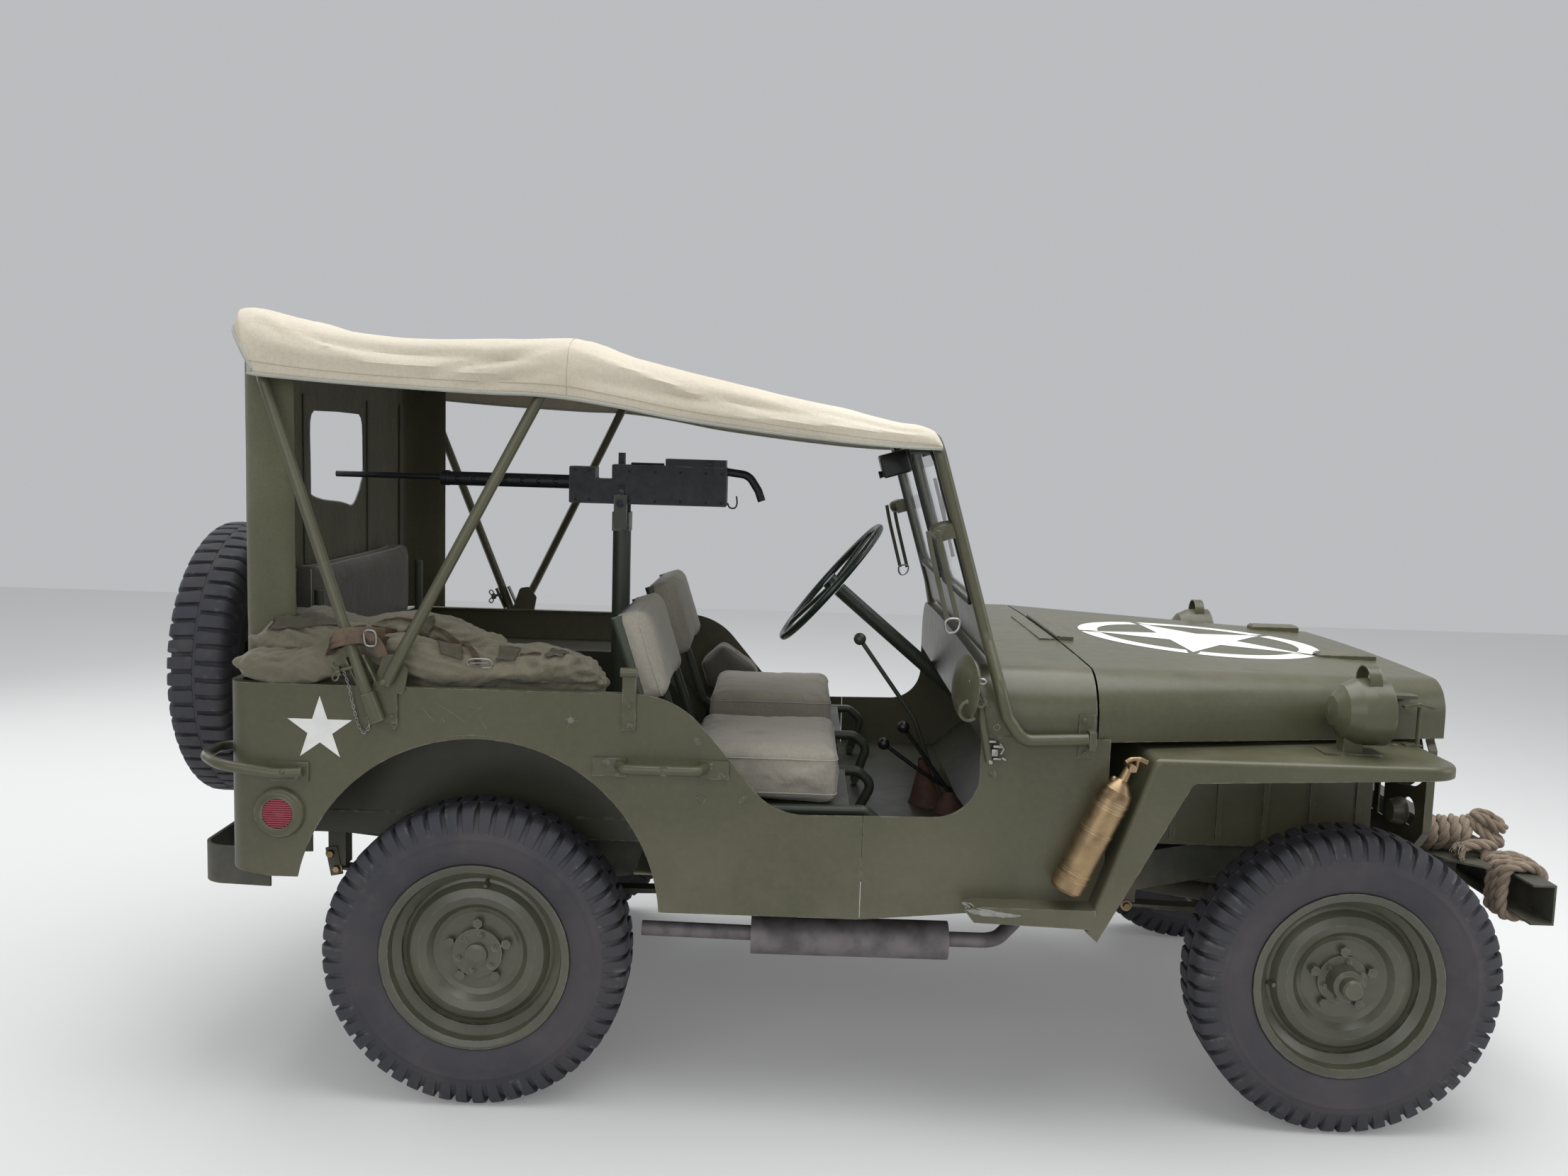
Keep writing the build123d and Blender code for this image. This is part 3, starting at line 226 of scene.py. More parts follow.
def pale(name, tone, strength):
    m = Material(name)
    rays = [m.node("ShaderNodeLightPath", out=k) for k in ("Is Camera Ray", "Is Glossy Ray", "Is Transmission Ray")]
    seen = rays[0].math("MAXIMUM", rays[1]).math("MAXIMUM", rays[2])
    data = m.finish(tone, 0.9, Specular_IOR_Level=0.1)
    m.put(m.shader.inputs["Emission Color"], (1, 1, 1))
    m.put(m.shader.inputs["Emission Strength"], seen * strength)
    return data


bm = bmesh.new()
FLOOR_X, FLOOR_Y, FLOOR_Z = 12, 9, -0.0005
add_grid(bm, [[Vector((x, y, FLOOR_Z)) for y in (-FLOOR_Y, FLOOR_Y)] for x in (-FLOOR_X, FLOOR_X)])
piece("floor", bm, pale("floor_pale", (0.62, 0.62, 0.61), 0.1), None)
world = bpy.data.worlds.new("studio")
bpy.context.scene.world = world
world.use_nodes = True
world.node_tree.nodes["Background"].inputs["Color"].default_value = (0.9, 0.92, 0.95, 1)
world.node_tree.nodes["Background"].inputs["Strength"].default_value = 0.55


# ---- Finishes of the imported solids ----
# Pressed steel in brushed olive, darker green inside and under the car, cast iron, gun steel, brass, glass and
# moulded plastic. The solids keep their shapes; each gets the finish of the slot that the record names.

def painted(name, base, faded, roughness=0.42, dusty=0.55, chips=0.5, spec=0.5, shade=False):
    """Brushed army paint: faded patches, run marks, dust low down, bare metal on worn edges; with shade, also a painted
    shade darkening the surfaces low down inboard of the body's sides, such as the wheelhouses.
    """
    m = Material(name)
    patches = m.noise(1.7, 4).between(0.35, 0.68)
    color = m.mix(patches, base, faded)
    runs = m.noise(9, 3, stretch=(1, 1, 0.12)).between(0.5, 0.75) * m.noise(2.3, 2)
    color = m.mix(runs * 0.5, color, tuple(c * 0.72 for c in base))
    color = m.mix(m.noise(70, 4).between(0.3, 0.8) * 0.22, color, tuple(c * 1.5 + 0.01 for c in base))
    low = m.z.between(0.95, 0.25) * dusty
    settled = m.lift.between(0.55, 1) * m.noise(6, 4).between(0.35, 0.8) * 0.2
    dust = (low * m.noise(5, 5, 0.6).between(0.25, 0.85)) + settled
    color = m.mix(dust, color, (0.2, 0.175, 0.125))
    if shade:
        # Painted shade: surfaces low down and inboard of the body's sides, such as the inner wheelhouses, are darkened
        # as if in shadow.
        painted_wheelhouse_shade = m.y.math("ABSOLUTE").between(0.714, 0.706) * m.z.between(0.96, 0.9) * m.x.between(0.56, 0.5)
        color = m.mix(painted_wheelhouse_shade * 0.6, color, (0.014, 0.017, 0.014))
    edge = m.edges(0.004) * m.noise(36, 3).between(0.47, 0.58) * chips
    color = m.mix(edge, color, (0.3, 0.31, 0.27))
    fine = m.noise(420, 2)
    return m.finish(color, dust * 0.3 + m.noise(24, 3) * 0.14 + (roughness - 0.07),
                    [(fine, 0.00012), (m.noise(4, 2), 0.004)], Specular_IOR_Level=spec)


def plain(name, color, roughness, metallic=0.0, vary=0.25, grain=60.0, rub=None, bump=0.0002, **fixed):
    """A smaller piece's finish: a base colour with patchy dirt, rubbed edges and a fine grain."""
    m = Material(name)
    tone = m.mix(m.noise(grain, 4).between(0.35, 0.75) * vary, color, tuple(c * 0.35 for c in color))
    if rub:
        tone = m.mix(m.edges(0.003) * m.noise(30, 3).between(0.4, 0.6), tone, rub)
    rough = m.noise(grain * 0.7, 3) * 0.22 + (roughness - 0.11)
    return m.finish(tone, rough, [(m.noise(grain * 4, 3), bump)], Metallic=metallic, **fixed)


def clear_glass(name, tint, rough):
    m = Material(name)
    m.shader.inputs["Transmission Weight"].default_value = 1.0
    m.shader.inputs["IOR"].default_value = 1.45
    smears = m.noise(7, 5).between(0.45, 0.85)
    m.put(m.shader.inputs["Alpha"], smears * 0.16 + 0.22)
    return m.finish(tint, smears * 0.2 + rough)


def dress(slot, material):
    """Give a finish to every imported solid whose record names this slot."""
    for part in frame["record"]["subparts"]:
        if part["material_slot"] == slot:
            mesh = nodes[part["node"]].data
            mesh.materials.clear()
            mesh.materials.append(material)


# The body's olive has painted shade that darkens the wheelhouses and other low surfaces inboard of its sides.
olive = painted("olive_paint", (0.068, 0.066, 0.037), (0.08, 0.078, 0.046), 0.33, spec=0.42, shade=True)
inner_green = painted("inner_green", (0.035, 0.043, 0.03), (0.05, 0.058, 0.04), 0.4, 0.3, 0.8)
chassis_green = painted("chassis_green", (0.022, 0.027, 0.02), (0.034, 0.038, 0.028), 0.5, 0.9, 0.4)
wheel_olive = painted("wheel_olive", (0.048, 0.05, 0.032), (0.06, 0.061, 0.04), 0.3, 0.3, 0.5, 0.6)
castings = painted("castings", (0.03, 0.034, 0.028), (0.05, 0.05, 0.042), 0.55, 0.9, 0.5)
gun_steel = plain("gun_steel", (0.022, 0.024, 0.03), 0.46, 0.35, vary=0.5, rub=(0.16, 0.17, 0.19))
exhaust_steel = plain("exhaust_steel", (0.2, 0.18, 0.185), 0.6, 0.35, vary=0.75, grain=18, bump=0.0006)
brass = plain("brass", (0.36, 0.255, 0.145), 0.42, 1.0, vary=0.85, grain=14, rub=(0.6, 0.47, 0.29))
moulding = plain("moulding", (0.022, 0.036, 0.028), 0.3, vary=0.4, rub=(0.09, 0.12, 0.1), Coat_Weight=0.15)
reflector_red = plain("reflector_red", (0.25, 0.035, 0.05), 0.3, vary=0.4, Coat_Weight=0.3)
glass = clear_glass("glass", (0.86, 0.9, 0.88), 0.03)
lamp_glass = clear_glass("lamp_glass", (0.8, 0.84, 0.82), 0.08)
for slot, material in (("body_paint", olive), ("inner_paint", inner_green), ("frame_paint", chassis_green),
                       ("wheel_paint", wheel_olive), ("cast_iron", castings), ("exhaust_steel", exhaust_steel),
                       ("glass", glass), ("lamp_glass", lamp_glass), ("gun_steel", gun_steel), ("brass", brass),
                       ("steering_plastic", moulding), ("reflector_red", reflector_red)):
    dress(slot, material)


# ---- Tyres ----
# Old bar-tread tyres on the four wheels and the spare, their sidewalls brown with age and their bars torn.
# The bars run in from both shoulders, staggered by half a pitch, to a narrow rib round the middle.

def tyre_rubber():
    """Old rubber: brown bloom on the sidewall, grey dust in the grooves, and torn lug edges lightened, partly as worn
    grey rubber and partly as a painted highlight.
    """
    m = Material("tyre_rubber")
    lug = m.attribute("lug")
    edge = m.attribute("edge")
    color = m.mix(m.noise(5, 4).between(0.3, 0.7), (0.042, 0.04, 0.048), (0.062, 0.056, 0.06))
    color = m.mix(lug * 0.7, color, (0.038, 0.04, 0.05))
    color = m.mix(m.noise(14, 5, 0.6).between(0.5, 0.75) * 0.4, color, (0.085, 0.075, 0.068))
    # Lighter torn lug edges: partly worn grey rubber, partly a painted highlight where the edges catch the light.
    torn = edge * m.noise(24, 4, 0.65).between(0.55, 0.68)
    color = m.mix(torn * 0.5, color, (0.16, 0.157, 0.155))
    return m.finish(color, m.noise(30, 3) * 0.2 + 0.6, [(m.noise(260, 3), 0.0003), (m.noise(40, 4), 0.0012)],
                    Specular_IOR_Level=0.4)


rubber = tyre_rubber()
dress("tyre", rubber)

# Places as on the drawings: X forward from the rear axle, Y left, Z up, all in millimetres
MID = 865
AXLE_Z, WHEELBASE, WHEEL_Y = 358, 2032, 622.5
SPARE_PLACE = (-727, -150, 963)
WHEELS = (("rear_right", 0, -1), ("rear_left", 0, 1), ("front_right", WHEELBASE, -1), ("front_left", WHEELBASE, 1))


def at(x, y, z):
    """A drawing point as a point in the scene, in metres."""
    return Vector(((x - MID) / 1000, y / 1000, z / 1000))


def facing(place, direction):
    """A matrix at place whose Z points along direction."""
    return Matrix.Translation(place) @ Vector(direction).to_track_quat("Z", "Y").to_matrix().to_4x4()


LUGS = 54
SIDE_RINGS = [(208, 53.5), (223, 58.8), (231, 66.5), (241, 71), (258, 77.5), (272, 79.5), (284, 80), (286, 81),
              (289, 81), (291, 80), (300, 79)]
TALL_RINGS = [(303, 78.8), (318, 77), (334, 73.5), (346, 69), (353, 63), (357, 56), (358, 40), (358, 22), (358, 9)]
DEEP_RINGS = [(303, 78.5), (313, 74.5), (324, 69.5), (334, 64), (341, 58), (345, 50), (346, 38), (347, 22), (349, 11)]
RIB = ((356, -4), (357.5, 0), (356, 4))
RIB_STEPS = 216
tyre_random = random.Random(4)


def tyre_points():
    """Rows of (radius, across, angle, lug, edge) round the tyre, from the right bead to the left."""
    pitch = 2 * math.pi / LUGS
    marks = [(0.0, 1), (0.05, 1), (0.27, 1), (0.5, 1), (0.62, 1), (0.67, 0), (0.8, 0), (0.94, 0)]
    wear = [[tyre_random.random() for _ in marks] for _ in range(LUGS * 2)]
    rows = []
    for half, shift in ((-1, 0.0), (1, 0.5)):
        columns = []
        for lug in range(LUGS):
            for k, (phase, tall) in enumerate(marks):
                column = [(r, half * y, (lug + phase + shift) * pitch, 0, 0) for r, y in SIDE_RINGS]
                for j, (high, deep) in enumerate(zip(TALL_RINGS, DEEP_RINGS)):
                    inner = j / len(TALL_RINGS)
                    widen = 0.1 * inner if tall else 0
                    angle = lug + phase + shift + (widen if phase > 0.5 else -widen * 0.3) + 0.1 * inner * inner
                    r, y = high if tall else deep
                    torn = wear[lug * 2 + (half > 0)][k] if tall and phase in (0.0, 0.62) and 1 < j < 7 else 0
                    # edge marks the bars' edges, which the rubber lightens as wear and as a painted highlight, and the
                    # grooves, which get a little dust.
                    edge = 1 if tall and phase in (0.0, 0.05, 0.62) and j < 7 else 0.4 * (1 - tall)
                    column.append((r - 3.2 * torn * torn, half * y, angle * pitch, 1 if tall else 0.2, edge))
                column.append((357, half * 3.5, (lug + phase + shift + 0.1) * pitch, 1, 0.2))
                columns.append(column)
        rows.append(columns)
    return rows


tyre_columns = tyre_points()


def make_tyre(name, body, centre, axis):
    bm = bmesh.new()
    matrix = facing(centre, axis)
    layers = {"lug": bm.verts.layers.float.new("lug"), "edge": bm.verts.layers.float.new("edge")}

    def ring_point(radius, across, angle):
        return matrix @ Vector((radius * math.cos(angle) / 1000, radius * math.sin(angle) / 1000, across / 1000))

    for columns in tyre_columns:
        verts = add_grid(bm, [[ring_point(*point[:3]) for point in column] for column in columns], wrap_rows=True)
        for column, made in zip(columns, verts):
            for (_, _, _, lug, edge), v in zip(column, made):
                v[layers["lug"]], v[layers["edge"]] = lug, edge
    add_grid(bm, [[ring_point(r, y, 2 * math.pi * k / RIB_STEPS) for k in range(RIB_STEPS)] for r, y in RIB],
             wrap_columns=True)
    tyre = piece(name, bm, rubber, body)
    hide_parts(name.replace("_tread", "_tyre"))


for name, x, hand in WHEELS:
    make_tyre(name + "_tread", name + "_wheel", at(x, hand * WHEEL_Y, AXLE_Z), (0, hand, 0))
make_tyre("spare_tread", "car", at(*SPARE_PLACE), (-1, 0, 0))


# ---- Canvas top ----
# One sheet of pale duck, stretched over both bows and down to the windshield, slack enough to fold between them.
# Its section is swept along a shoulder line and a hem line; the hem is piped and the seams are sewn.

def cloth(name, base, faded, stains, threads=700, folds=0.003, dirt=0.4):
    """Woven duck: crossed threads, faded patches, rubbed dirt and soft creases."""
    m = Material(name)
    color = m.mix(m.noise(2.6, 5).between(0.3, 0.72), base, faded)
    color = m.mix(m.noise(9, 6, 0.65).between(0.52, 0.8) * dirt, color, stains)
    color = m.mix(m.noise(160, 3).between(0.35, 0.7) * 0.16, color, tuple(c * 0.6 for c in base))
    across = (m.x * threads * 2 * math.pi).math("SINE")
    along = ((m.z + m.y) * threads * 2 * math.pi).math("SINE")
    weave = (across * along) * 0.5 + m.noise(900, 2)
    return m.finish(color, 0.93, [(weave, 0.00018), (m.noise(22, 4, 0.6), folds)],
                    Specular_IOR_Level=0.12, Sheen_Weight=0.25, Sheen_Roughness=0.5)


def add_tube(bm, points, radius, sides=12, closed=False):
    """A round tube through points in metres; radius may be a list, one for each point."""
    count = len(points)
    radii = radius if isinstance(radius, (list, tuple)) else [radius] * count
    rows, normal = [], None
    for i, p in enumerate(points):
        ahead = points[(i + 1) % count] if closed or i < count - 1 else p
        back = points[i - 1] if closed or i else p
        tangent = (ahead - back).normalized()
        if normal is None:
            normal = tangent.orthogonal().normalized()
        normal = (normal - tangent * normal.dot(tangent)).normalized()
        other = tangent.cross(normal)
        rows.append([p + (normal * math.cos(a) + other * math.sin(a)) * radii[i]
                     for a in (2 * math.pi * k / sides for k in range(sides))])
    verts = add_grid(bm, rows, wrap_rows=closed, wrap_columns=True)
    if not closed:
        bm.faces.new(verts[0])
        bm.faces.new(verts[-1])


def line_of(pairs):
    """Smooth function through (x, value) pairs."""
    xs = np.array([p[0] for p in pairs], float)
    ys = np.array([p[1] for p in pairs], float)
    slopes = np.gradient(ys, xs)

    def value(x):
        i = int(np.clip(np.searchsorted(xs, x) - 1, 0, len(xs) - 2))
        h = xs[i + 1] - xs[i]
        t = min(max((x - xs[i]) / h, 0), 1)
        return ((2 * t ** 3 - 3 * t * t + 1) * ys[i] + (t ** 3 - 2 * t * t + t) * h * slopes[i]
                + (3 * t * t - 2 * t ** 3) * ys[i + 1] + (t ** 3 - t * t) * h * slopes[i + 1])
    return value


def spline_between(a, b, c, d, t):
    """A Catmull-Rom spline from b to c, for numbers or vectors."""
    return 0.5 * (2 * b + (c - a) * t + (2 * a - 5 * b + 4 * c - d) * t * t + (3 * b - 3 * c + d - a) * t ** 3)


top_canvas = cloth("top_canvas", (0.53, 0.475, 0.375), (0.62, 0.565, 0.46), (0.38, 0.335, 0.26), dirt=0.3)
piping = cloth("piping", (0.34, 0.34, 0.3), (0.42, 0.42, 0.37), (0.2, 0.19, 0.15), threads=400, folds=0.001)
stitching = cloth("stitching", (0.38, 0.33, 0.25), (0.45, 0.4, 0.31), (0.25, 0.21, 0.16), threads=300, folds=0.0005)
dress("top_canvas", top_canvas)
hem_z = line_of([(-566, 1699), (-501, 1689), (-388, 1680), (-248, 1672), (-108, 1666), (33, 1661), (131, 1660),
                 (200, 1655), (298, 1642), (449, 1617), (600, 1599), (771, 1582), (923, 1571), (1004, 1568),
                 (1038, 1568)])
shoulder_z = line_of([(-566, 1802), (-558, 1828), (-534, 1841), (-497, 1836), (-382, 1806), (-208, 1784), (9, 1786),
                      (150, 1791), (203, 1791), (260, 1776), (420, 1735), (600, 1696), (800, 1655), (940, 1627),
                      (1008, 1616), (1028, 1604), (1038, 1584)])
TOP_HALF, TOP_REAR, SHOULDER = 702, -566, 0.62
PROFILE = [(1.0, 0.0), (1.003, 0.3), (0.993, 0.58), (0.968, 0.8), (0.92, 0.94), (0.86, 1.0)]
CREASES = [(-530, 0.8, 160, 0.6, 0.09, -15), (-500, 0.5, 110, 0.34, 0.09, 10), (-150, 0.2, 196, 0.9, 0.08, -12),
           (-520, 0.95, -250, 0.5, 0.06, 8), (-60, 0.05, 190, 0.45, 0.07, -9), (215, 0.35, 780, 0.66, 0.11, -13),
           (212, 0.8, 640, 0.42, 0.07, 10), (480, 0.18, 1010, 0.52, 0.1, 8), (640, 0.85, 1000, 0.6, 0.07, -7)]


def top_point(x, across, push=0.0):
    """A point of the canvas at a station; across runs from -1 at the right hem to 1 at the left.

    The section goes up from the hem to the shoulder by PROFILE, and is nearly flat from there to the middle."""
    reach, hand = abs(across), math.copysign(1, across)
    low, high = hem_z(x), shoulder_z(x)
    crown = 14 * math.exp(-((x - 200) / 260) ** 2) + 4
    if reach > SHOULDER:
        s = (1 - reach) / (1 - SHOULDER) * (len(PROFILE) - 1)
        i = min(int(s), len(PROFILE) - 2)
        t = s - i
        p = [PROFILE[min(max(i + k, 0), len(PROFILE) - 1)] for k in (-1, 0, 1, 2)]
        y, up = (spline_between(*(point[n] for point in p), t) for n in (0, 1))
    else:
        y, up = PROFILE[-1][0] * reach / SHOULDER, 1.0
    z = low + (high - low) * up
    if reach <= SHOULDER:
        z += crown * (1 - (reach / SHOULDER) ** 2)
        sag = math.sin(math.pi * min(max((x - 210) / 830, 0), 1)) * 16 if x > 200 else \
            math.sin(math.pi * min(max((x + 540) / 740, 0), 1)) * 13
        z -= sag * (1 - (reach / SHOULDER) ** 3)
    y = y * TOP_HALF * hand
    out = push
    if reach > 0.55:
        for x0, s0, x1, s1, wide, depth in CREASES:
            t = (x - x0) / (x1 - x0)
            if 0 < t < 1:
                centre = s0 + (s1 - s0) * t
                swell = math.sin(math.pi * t) ** 0.6
                out += depth * swell * math.exp(-((up - centre) / wide) ** 2)
    ripple = noise.noise(Vector((x / 150, y / 120, 3.1 * hand))) * 4.5
    ripple += noise.noise(Vector((x / 60, y / 60 + z / 60, 7))) * 0.9
    slope = min(max((reach - 0.66) / 0.3, 0), 1)
    y += hand * (out + ripple) * slope
    z += (out + ripple) * (1 - slope)
    rear_cut = 70 * (1 - min(up, 1)) ** 0.7 if reach > SHOULDER else 0
    share = min(max((60 - (x - TOP_REAR)) / 60, 0), 1)
    return at(x + rear_cut * share, y, z)


stations = [-566, -563, -558, -550, -541, -528] + list(range(-510, 180, 15)) + [185, 192, 200, 208, 216] \
    + list(range(230, 1000, 16)) + [1006, 1016, 1024, 1031, 1035, 1038]
spread = [-1 + 2 * k / 96 for k in range(97)]
bm = bmesh.new()
add_grid(bm, [[top_point(x, s) for s in spread] for x in stations])
top = piece("canvas_cover", bm, top_canvas)
solid = top.modifiers.new("thickness", "SOLIDIFY")
solid.thickness, solid.offset = 0.0022, -1
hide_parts("canvas_top")

bm = bmesh.new()
for hand in (-1, 1):
    add_tube(bm, [top_point(x, hand, 1) for x in stations], 0.0042, 8)
add_tube(bm, [top_point(TOP_REAR, s, 1) for s in spread], 0.004, 8)
hem = piece("canvas_piping", bm, piping)

bm = bmesh.new()
for hand in (-1, 1):
    add_tube(bm, [top_point(x, hand * 0.95, 0.4) for x in stations[4:]], 0.0007, 5)
add_tube(bm, [top_point(203, s, 0.2) for s in spread], 0.0008, 5)
seams = piece("canvas_seams", bm, stitching)


# ---- Rear curtain ----
# Olive cloth that hangs from the rear bow and turns forward at both sides, with four webbing straps on it.
# Its window is torn: the opening is cut out of the cloth, and a frayed edge is laid round its upper part.

def curved(points, steps=6, closed=False):
    """A smooth line through points: a Catmull-Rom spline."""
    pts = [Vector(p) for p in points]
    line, last = [], len(pts) if closed else len(pts) - 1
    for i in range(last):
        a, b, c, d = (pts[(i + k) % len(pts)] if closed else pts[min(max(i + k, 0), len(pts) - 1)]
                      for k in (-1, 0, 1, 2))
        for s in range(steps):
            line.append(spline_between(a, b, c, d, s / steps))
    return line if closed else line + [pts[-1]]


def add_band(bm, points, across, width, thick):
    """A flat strap along points; across is its width's direction."""
    section = ((-1, -1), (-0.9, -1.3), (0.9, -1.3), (1, -1), (1, 1), (0.9, 1.3), (-0.9, 1.3), (-1, 1))
    rows = []
    for i, p in enumerate(points):
        tangent = (points[min(i + 1, len(points) - 1)] - points[max(i - 1, 0)]).normalized()
        wide = Vector(across)
        wide = (wide - tangent * wide.dot(tangent)).normalized()
        flat = tangent.cross(wide)
        rows.append([p + wide * s * width / 2 + flat * k * thick / 2 for s, k in section])
    verts = add_grid(bm, rows, wrap_columns=True)
    bm.faces.new(verts[0])
    bm.faces.new(verts[-1])


def bake(made):
    """Turn what the modifiers give into the piece's own mesh."""
    bpy.context.view_layer.update()
    built = bpy.data.meshes.new_from_object(made.evaluated_get(bpy.context.evaluated_depsgraph_get()))
    made.modifiers.clear()
    made.data = built


curtain_canvas = cloth("curtain_canvas", (0.10, 0.1, 0.062), (0.135, 0.132, 0.085), (0.06, 0.06, 0.045))
webbing = cloth("webbing", (0.085, 0.085, 0.06), (0.13, 0.125, 0.09), (0.04, 0.04, 0.03), threads=350, folds=0.001)
dress("curtain_canvas", curtain_canvas)
CURTAIN_REAR, CURTAIN_HALF, CURTAIN_FOOT, WING_SHARE = -551, 645, 1010, 0.945


def curtain_plan():
    """Points (x, y) round the back, from the right wing's edge to the left one's."""
    right_wing = [(-424, -CURTAIN_HALF), (-450, -CURTAIN_HALF), (-480, -CURTAIN_HALF), (-508, -CURTAIN_HALF + 1),
                  (-528, -CURTAIN_HALF + 8), (-542, -CURTAIN_HALF + 20), (CURTAIN_REAR, -CURTAIN_HALF + 40)]
    rear = [(CURTAIN_REAR, y) for y in range(-580, 581, 20)]
    return right_wing + rear + [(x, -y) for x, y in reversed(right_wing)]


WINDOW = [(-209, 1402), (-210, 1560), (-207, 1592), (-198, 1610), (-180, 1620), (0, 1622), (176, 1620), (194, 1610),
          (203, 1592), (206, 1560), (206, 1462), (202, 1440), (190, 1424), (176, 1404), (150, 1380), (128, 1366),
          (100, 1361), (60, 1367), (10, 1374), (-50, 1379), (-110, 1384), (-160, 1391), (-192, 1397)]


def curtain_point(x, y, z):
    t = (z - CURTAIN_FOOT) / 690
    fold = 3.5 * math.sin(y / 46 + 1.3 * t) * (1 - t) + 3 * noise.noise(Vector((y / 90, z / 210, 2)))
    fold += 5 * math.exp(-((z - 1105) / 30) ** 2) * (abs(y) > 560)
    if x > CURTAIN_REAR + 4:
        return at(x, y - math.copysign(fold * 0.5 + 2, y), z)
    return at(x + fold * 0.55 + 2, y, z)


bm = bmesh.new()
levels = [CURTAIN_FOOT, 1016, 1024] + list(range(1040, 1808, 16)) + [1812]
add_grid(bm, [[curtain_point(x, y, z if x < CURTAIN_REAR + 4 else CURTAIN_FOOT + (z - CURTAIN_FOOT) * WING_SHARE)
               for x, y in curtain_plan()] for z in levels])
curtain = piece("curtain_cloth", bm, curtain_canvas)
solid = curtain.modifiers.new("thickness", "SOLIDIFY")
solid.thickness, solid.offset = 0.002, 0
bm = bmesh.new()
outline = [at(CURTAIN_REAR - 40, y, z) for y, z in WINDOW]
add_grid(bm, [outline, [p + Vector((0.09, 0, 0)) for p in outline]], wrap_columns=True)
for ring in (0, 1):
    bm.verts.ensure_lookup_table()
    bm.faces.new([bm.verts[ring * len(WINDOW) + k] for k in range(len(WINDOW))])
cutter = piece("window_cutter", bm, piping, None, smooth=False)
cut = curtain.modifiers.new("window", "BOOLEAN")
cut.object, cut.operation, cut.solver = cutter, "DIFFERENCE", "EXACT"
bake(curtain)
bpy.data.objects.remove(cutter)
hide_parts("rear_curtain")

bm = bmesh.new()
ragged = [curtain_point(CURTAIN_REAR, y, z) for y, z in WINDOW]
add_tube(bm, curved(ragged[10:] + ragged[:1], 4), 0.0024, 6)
torn_edge = piece("window_edge", bm, piping)
bm = bmesh.new()
for hand in (-1, 1):
    for y, x in ((560, -546), (250, -547)):
        points = [at(x + 3, hand * y, z) for z in range(1060, 1700, 40)]
        add_band(bm, points, (0, 1, 0), 0.034, 0.002)
straps = piece("curtain_straps", bm, webbing)


# ---- Seat cushions, seat backs and rear pads ----
# Pale duck over stuffing with piped, sewn edges; the rear pads and the side pad are darker and more worn.
# Each is a box that is remeshed, blown up by cloth pressure as far as its cap, and creased a little.

seat_canvas = cloth("seat_canvas", (0.31, 0.285, 0.235), (0.41, 0.38, 0.32), (0.16, 0.145, 0.12), folds=0.004,
                    dirt=0.55)
worn_canvas = cloth("worn_canvas", (0.105, 0.1, 0.088), (0.155, 0.148, 0.13), (0.06, 0.055, 0.045), folds=0.004,
                    dirt=0.5)
dress("seat_canvas", seat_canvas)
PRESSURE, SWELL_STEPS = 4.0, 20
PAD_CAP, PAD_BEVEL, PAD_EDGE = 9, 17, 6
SEAM_RADIUS, SEAM_OUT, SEAM_STEPS = 0.0017, 0.0006, 15


def blown_pad(name, size, bevel, place, cap, voxel=0.007, corners=None):
    """A stuffed box: remeshed, blown up a little by cloth pressure, then smoothed, in one material."""
    bm = bmesh.new()
    if corners:
        front = [bm.verts.new((x / 1000, -size[1] / 2000, z / 1000)) for x, z in corners]
        made = bmesh.ops.extrude_face_region(bm, geom=[bm.faces.new(front)])["geom"]
        bmesh.ops.translate(bm, verts=[v for v in made if isinstance(v, bmesh.types.BMVert)],
                            vec=(0, size[1] / 1000, 0))
    else:
        bmesh.ops.create_cube(bm, size=1)
        bmesh.ops.scale(bm, vec=[s / 1000 for s in size], verts=bm.verts)
    bmesh.ops.bevel(bm, geom=list(bm.edges), offset=bevel / 1000, segments=3, profile=0.5, affect="EDGES",
                    material=-1)
    bmesh.ops.transform(bm, matrix=place, verts=bm.verts)
    pad = piece(name, bm, seat_canvas)
    remesh = pad.modifiers.new("grain", "REMESH")
    remesh.mode, remesh.voxel_size = "VOXEL", voxel
    bake(pad)
    rest = np.empty(len(pad.data.vertices) * 3)
    pad.data.vertices.foreach_get("co", rest)
    air = pad.modifiers.new("air", "CLOTH")
    air.settings.use_pressure, air.settings.uniform_pressure_force = True, PRESSURE
    air.settings.effector_weights.gravity = 0
    air.settings.quality = 5
    air.settings.tension_stiffness = air.settings.compression_stiffness = 12
    air.settings.bending_stiffness = 1.2
    for step in range(1, SWELL_STEPS + 1):
        bpy.context.scene.frame_set(step)
    bake(pad)
    bpy.context.scene.frame_set(1)
    moved = np.empty_like(rest)
    pad.data.vertices.foreach_get("co", moved)
    shift = (moved - rest).reshape(-1, 3)
    reach = np.linalg.norm(shift, axis=1, keepdims=True)
    shift *= np.minimum(1, cap / 1000 / np.maximum(reach, 1e-9))
    pad.data.vertices.foreach_set("co", (rest.reshape(-1, 3) + shift).ravel())
    for v in pad.data.vertices:
        p = v.co
        crease = noise.noise(Vector((p.x * 7, p.y * 7, p.z * 19))) + 0.5 * noise.noise(p * 26)
        v.co = p + v.normal * 0.0014 * crease
    pad.data.shade_smooth()
    return pad


def seam_on(bm, pad, loop):
    """A sewn edge along a loop of points, pulled onto the pad's surface."""
    tree = BVHTree.FromObject(pad, bpy.context.evaluated_depsgraph_get())
    line = []
    for p in loop:
        spot, normal, _, _ = tree.find_nearest(p)
        line.append(spot + normal * SEAM_OUT)
    add_tube(bm, line, SEAM_RADIUS, 6, closed=True)


